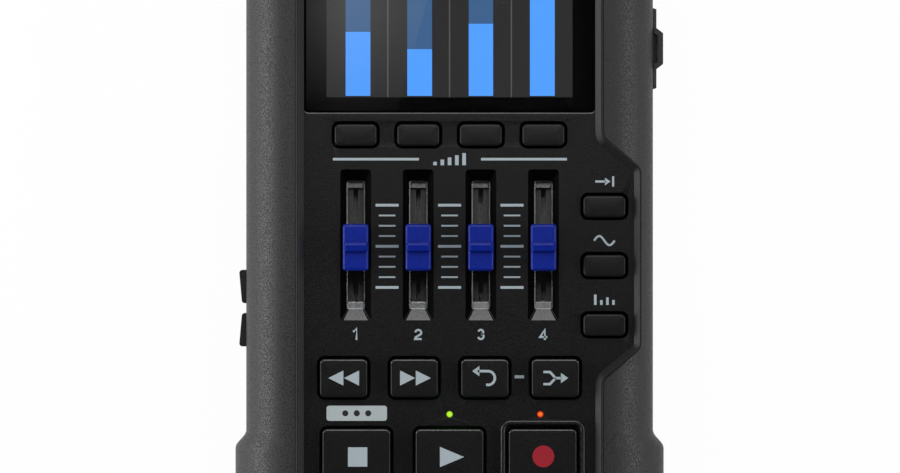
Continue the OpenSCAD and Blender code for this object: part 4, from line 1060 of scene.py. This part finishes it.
class RECORDER_OT_marks(bpy.types.Operator):
    """Print the panel's lines, scale and numbers and the marks on the keys"""

    bl_idname = "recorder.marks"
    bl_label = "Printed Marks"

    def execute(self, context):
        thick = length("print_height")
        face = millimetres("control_panel")[1].z - RIM_H
        low, high = face - PRINT_SINK, face + thick
        bm = bmesh.new()
        for a, b in RULES:
            slab(bm, a, RULE_Y - RULE_HALF, b, RULE_Y + RULE_HALF, low, high)
        for k, rise in enumerate(STEP_BARS):
            x, y = STEP_PITCH * (k - 2), RULE_Y - 1.0
            slab(bm, x - 0.3, y, x + 0.3, y + rise, low, high)
        slab(bm, *KEY_DASH, low, high)
        for n in TRACKS:
            at = (middle(f"fader_pot_{n}")[0], NUMBER_Y)
            for path in NUMBERS[n]:
                outline = stroke(moved(path, (0, 0), length("number_height") / 2.1), NUMBER_LINE)
                prism(bm, moved(outline, at), low, high)
        for name, parts in FUNCTION_MARKS.items():
            x, y = middle(name)
            for part in parts:
                prism(bm, moved(part, (x, y + MARK_RISE)), low, high)
        piece("panel_marks", bm, "Printed Mark", ROOT, "panel", angle=30)
        self.scale(face)
        self.plate(face, thick)
        for name, parts in KEY_MARKS.items():
            self.key_mark(name, parts, thick)
        return {"FINISHED"}

    @staticmethod
    def scale(face):
        """Ticks between the fader slots."""
        values = {
            "Columns": 3,
            "Rows": 9,
            "Column Pitch": SCALE_PITCH * MM,
            "Row Pitch": length("tick_pitch") * MM,
            "Width": length("tick_width") * MM,
            "Line": length("tick_line") * MM,
            "Height": 2 * length("print_height") * MM,
            "Middle": (0.0, SCALE_Y * MM, face * MM),
        }
        finish = finish_of("Printed Mark")
        obj = grown("scale_ticks", bpy.data.meshes.new("scale_base"), scale_tree(finish), values)
        join_part(obj, ROOT, "panel")

    @staticmethod
    def plate(face, thick):
        """Pale printed plate with three dots beside the transport keys."""
        outline = box_corners(*PLATE_SIZE, PLATE_AT)
        bm = skinned([(outline, face - PRINT_SINK), (outline, face + thick)])
        piece("printed_plate", bm, "Printed Plate", ROOT, "panel", angle=30)
        x, y = PLATE_AT
        bm = bmesh.new()
        for k in (-1, 0, 1):
            prism(bm, moved(arc(DOT_R, 0, 345, 23), (x + DOT_PITCH * k, y)), face, face + 2 * thick)
        piece("plate_dots", bm, "Dark Mark", ROOT, "panel", angle=30)

    @staticmethod
    def key_mark(name, parts, thick):
        """Mark on the face of a key, which moves with it."""
        face = millimetres(name)[1].z
        bm = bmesh.new()
        for part in parts:
            prism(bm, moved(part, middle(name)), face - MARK_SINK, face + thick)
        finish = "Record Mark" if name == GUARDED_KEY else "Printed Mark"
        piece(f"{name}_mark", bm, finish, BODY_OF[name], "key", angle=30)


# Screw heads: dome as shares of the radius with heights, cross as arm, half width and depth
SCREW_PLACES = ((-27.5, 58.0), (27.5, 58.0), (-27.5, -27.0), (27.5, -27.0), (0.0, -62.0))
SCREW_R = 2.35
SCREW_DOME = ((0.55, -0.44), (0.8, -0.36), (0.95, -0.2), (1.0, 0.0), (1.0, 0.35))
SCREW_CROSS = (1.05, 0.24, 0.3)


class RECORDER_OT_fasteners(bpy.types.Operator):
    """Make the screw heads in the back's wells"""

    bl_idname = "recorder.fasteners"
    bl_label = "Screw Heads"

    def execute(self, context):
        base = millimetres("case_screws")[0].z
        points = bpy.data.meshes.new("screw_places")
        points.from_pydata([(x * MM, y * MM, base * MM) for x, y in SCREW_PLACES], [], [])
        bm = bmesh.new()
        outer = rings_of([(disc(SCREW_R * share), z) for share, z in SCREW_DOME], 6)
        skin(bm, outer, (False, True))
        arm, wide, deep = SCREW_CROSS
        cross = [(wide, wide), (wide, arm), (-wide, arm)]
        for turn in range(3):
            cross += [(-y, x) for x, y in cross[-3:]]
        z = SCREW_DOME[0][1]
        recess = [[Vector((x, y, h)) for x, y in cross] for h in (z, z + deep)]
        skin(bm, recess, (False, False))
        bm.faces.new([bm.verts.new(p) for p in recess[1]][::-1])
        holed_face(bm, outer[0], [recess[0]], False)
        bmesh.ops.remove_doubles(bm, verts=bm.verts, dist=1e-4)
        bmesh.ops.recalc_face_normals(bm, faces=bm.faces)
        head = shape("screw_head", bm, finish_of("Dark Steel"), 40)
        tree = fastener_tree(finish_of("Dark Steel"))
        obj = grown("screw_heads", points, tree, {"Head": head, "Turn": 0.7})
        bpy.data.objects.remove(head)
        join_part(obj, ROOT, "metal")
        return {"FINISHED"}


# In metres: where the lights stand and how large they are
STAGE_LIGHTS = {
    "left_light": ((-1.35, 0.0, 0.45), (1.6, 0.78)),
    "right_light": ((1.21, 0.0, 0.73), (1.6, 0.5)),
    "head_light": ((0.0, 0.172, 0.276), (0.2, 0.22)),
}
# In millimetres: the spot below the camera
CAMERA_OVER = (0.07, 3.5)


class RECORDER_OT_stage(bpy.types.Operator):
    """Set the camera, the soft lights and the pale floor"""

    bl_idname = "recorder.stage"
    bl_label = "Stage"

    def execute(self, context):
        scene = context.scene
        scene.view_settings.view_transform = "Standard"
        stage = scene.recorder_stage
        self.camera(scene, stage, millimetres("control_panel")[1].z * MM)
        for name, (place, size) in STAGE_LIGHTS.items():
            self.light(name, place, size, getattr(stage, name))
        self.world(scene)
        self.floor()
        return {"FINISHED"}

    @staticmethod
    def camera(scene, stage, face):
        """Camera straight above the panel."""
        data = bpy.data.cameras.new("camera")
        data.sensor_width = 36.0
        data.lens = data.sensor_width * stage.camera_height / stage.view_width
        data.clip_end = 20.0
        obj = bpy.data.objects.new("camera", data)
        obj.location = (*[c * MM for c in CAMERA_OVER], face + stage.camera_height)
        scene.collection.objects.link(obj)
        scene.camera = obj

    @staticmethod
    def light(name, place, size, power):
        """Soft light that looks at the recorder."""
        data = bpy.data.lights.new(name, "AREA")
        data.shape = "RECTANGLE"
        data.size, data.size_y = size
        data.energy = power
        obj = bpy.data.objects.new(name, data)
        obj.location = place
        obj.visible_camera = False
        obj.rotation_euler = (-Vector(place)).to_track_quat("-Z", "Y").to_euler()
        bpy.context.scene.collection.objects.link(obj)

    @staticmethod
    def world(scene):
        """White to the camera, a low sky that darkens overhead to everything else."""
        world = bpy.data.worlds.new("studio")
        scene.world = world
        world.use_nodes = True
        tree = world.node_tree
        tree.nodes.clear()
        way = node(tree, "ShaderNodeTexCoord").outputs["Generated"]
        axes = node(tree, "ShaderNodeSeparateXYZ", {0: way}).outputs
        rise = ramp(tree, axes["Z"], 0.0, 0.45, 0.9, 0.01, interpolation_type="SMOOTHSTEP")
        side = ramp(tree, axes["X"], -0.2, 0.6, 1.0, 0.35)
        rays = node(tree, "ShaderNodeLightPath").outputs
        sky = sums(tree, "MULTIPLY", rise, side, rays["Is Glossy Ray"])
        first = sums(tree, "LESS_THAN", rays["Ray Depth"], 2.5)
        through = sums(tree, "MULTIPLY", rays["Is Transmission Ray"], first)
        dim = sums(tree, "MULTIPLY", rays["Is Diffuse Ray"], 0.05)
        level = sums(tree, "MAXIMUM", rays["Is Camera Ray"], sky, through, dim, 0.03)
        ground = node(tree, "ShaderNodeBackground", {"Color": (1, 1, 1, 1), "Strength": level})
        node(tree, "ShaderNodeOutputWorld", {"Surface": ground.outputs[0]})

    @staticmethod
    def floor():
        """Pale floor that glows white to the camera and keeps a soft shadow."""
        made, tree = blank_material("Pale Floor")
        cloud = effect(tree, "Slow Drift", 3.0)["Share"]
        pale = blended(tree, cloud, (0.93, 0.93, 0.93, 1), (0.95, 0.95, 0.95, 1))
        matt = node(tree, "ShaderNodeBsdfDiffuse", {"Color": pale})
        glow = node(tree, "ShaderNodeEmission", {"Color": (1, 1, 1, 1), "Strength": 1.02})
        side = ramp(tree, own_axes(tree)["X"], 0.0, 0.08, 1.0, 0.35)
        rays = node(tree, "ShaderNodeLightPath").outputs
        shine = sums(tree, "MULTIPLY", rays["Is Glossy Ray"], side)
        seen = sums(tree, "MAXIMUM", rays["Is Camera Ray"], shine, rays["Is Transmission Ray"])
        share = sums(tree, "MULTIPLY", seen, 0.94)
        mix = node(tree, "ShaderNodeMixShader", {0: share, 1: matt.outputs[0], 2: glow.outputs[0]})
        node(tree, "ShaderNodeOutputMaterial", {"Surface": mix.outputs[0]})
        bm = bmesh.new()
        bmesh.ops.create_grid(bm, x_segments=2, y_segments=2, size=4000)
        shape("floor", bm, made)


GROUPS = {
    "recorder_sizes": RecorderSizes, "recorder_colours": RecorderColours, "recorder_stage": RecorderStage,
}
OPERATORS = (
    RECORDER_OT_solids, RECORDER_OT_panel, RECORDER_OT_keys, RECORDER_OT_caps, RECORDER_OT_display,
    RECORDER_OT_lights, RECORDER_OT_marks, RECORDER_OT_fasteners, RECORDER_OT_stage,
)


class VIEW3D_PT_recorder(bpy.types.Panel):
    """Lists the recorder's sizes, colours and steps"""

    bl_label = "Recorder"
    bl_idname = "VIEW3D_PT_recorder"
    bl_space_type = "VIEW_3D"
    bl_region_type = "UI"
    bl_category = "Recorder"

    def draw(self, context):
        for group in GROUPS:
            box = self.layout.box()
            owner = getattr(context.scene, group)
            for name in owner.__annotations__:
                box.prop(owner, name)
        for operator in OPERATORS:
            self.layout.operator(operator.bl_idname)


CLASSES = (*GROUPS.values(), *OPERATORS, VIEW3D_PT_recorder)


def register():
    for cls in CLASSES:
        bpy.utils.register_class(cls)
    for name, group in GROUPS.items():
        setattr(bpy.types.Scene, name, bpy.props.PointerProperty(type=group))


def unregister():
    for name in GROUPS:
        delattr(bpy.types.Scene, name)
    for cls in reversed(CLASSES):
        bpy.utils.unregister_class(cls)


def main():
    register()
    bpy.ops.recorder.solids()
    bpy.ops.recorder.panel()
    bpy.ops.recorder.keys()
    bpy.ops.recorder.caps()
    bpy.ops.recorder.display()
    bpy.ops.recorder.lights()
    bpy.ops.recorder.marks()
    bpy.ops.recorder.fasteners()
    bpy.ops.recorder.stage()


if __name__ == "__main__":
    main()
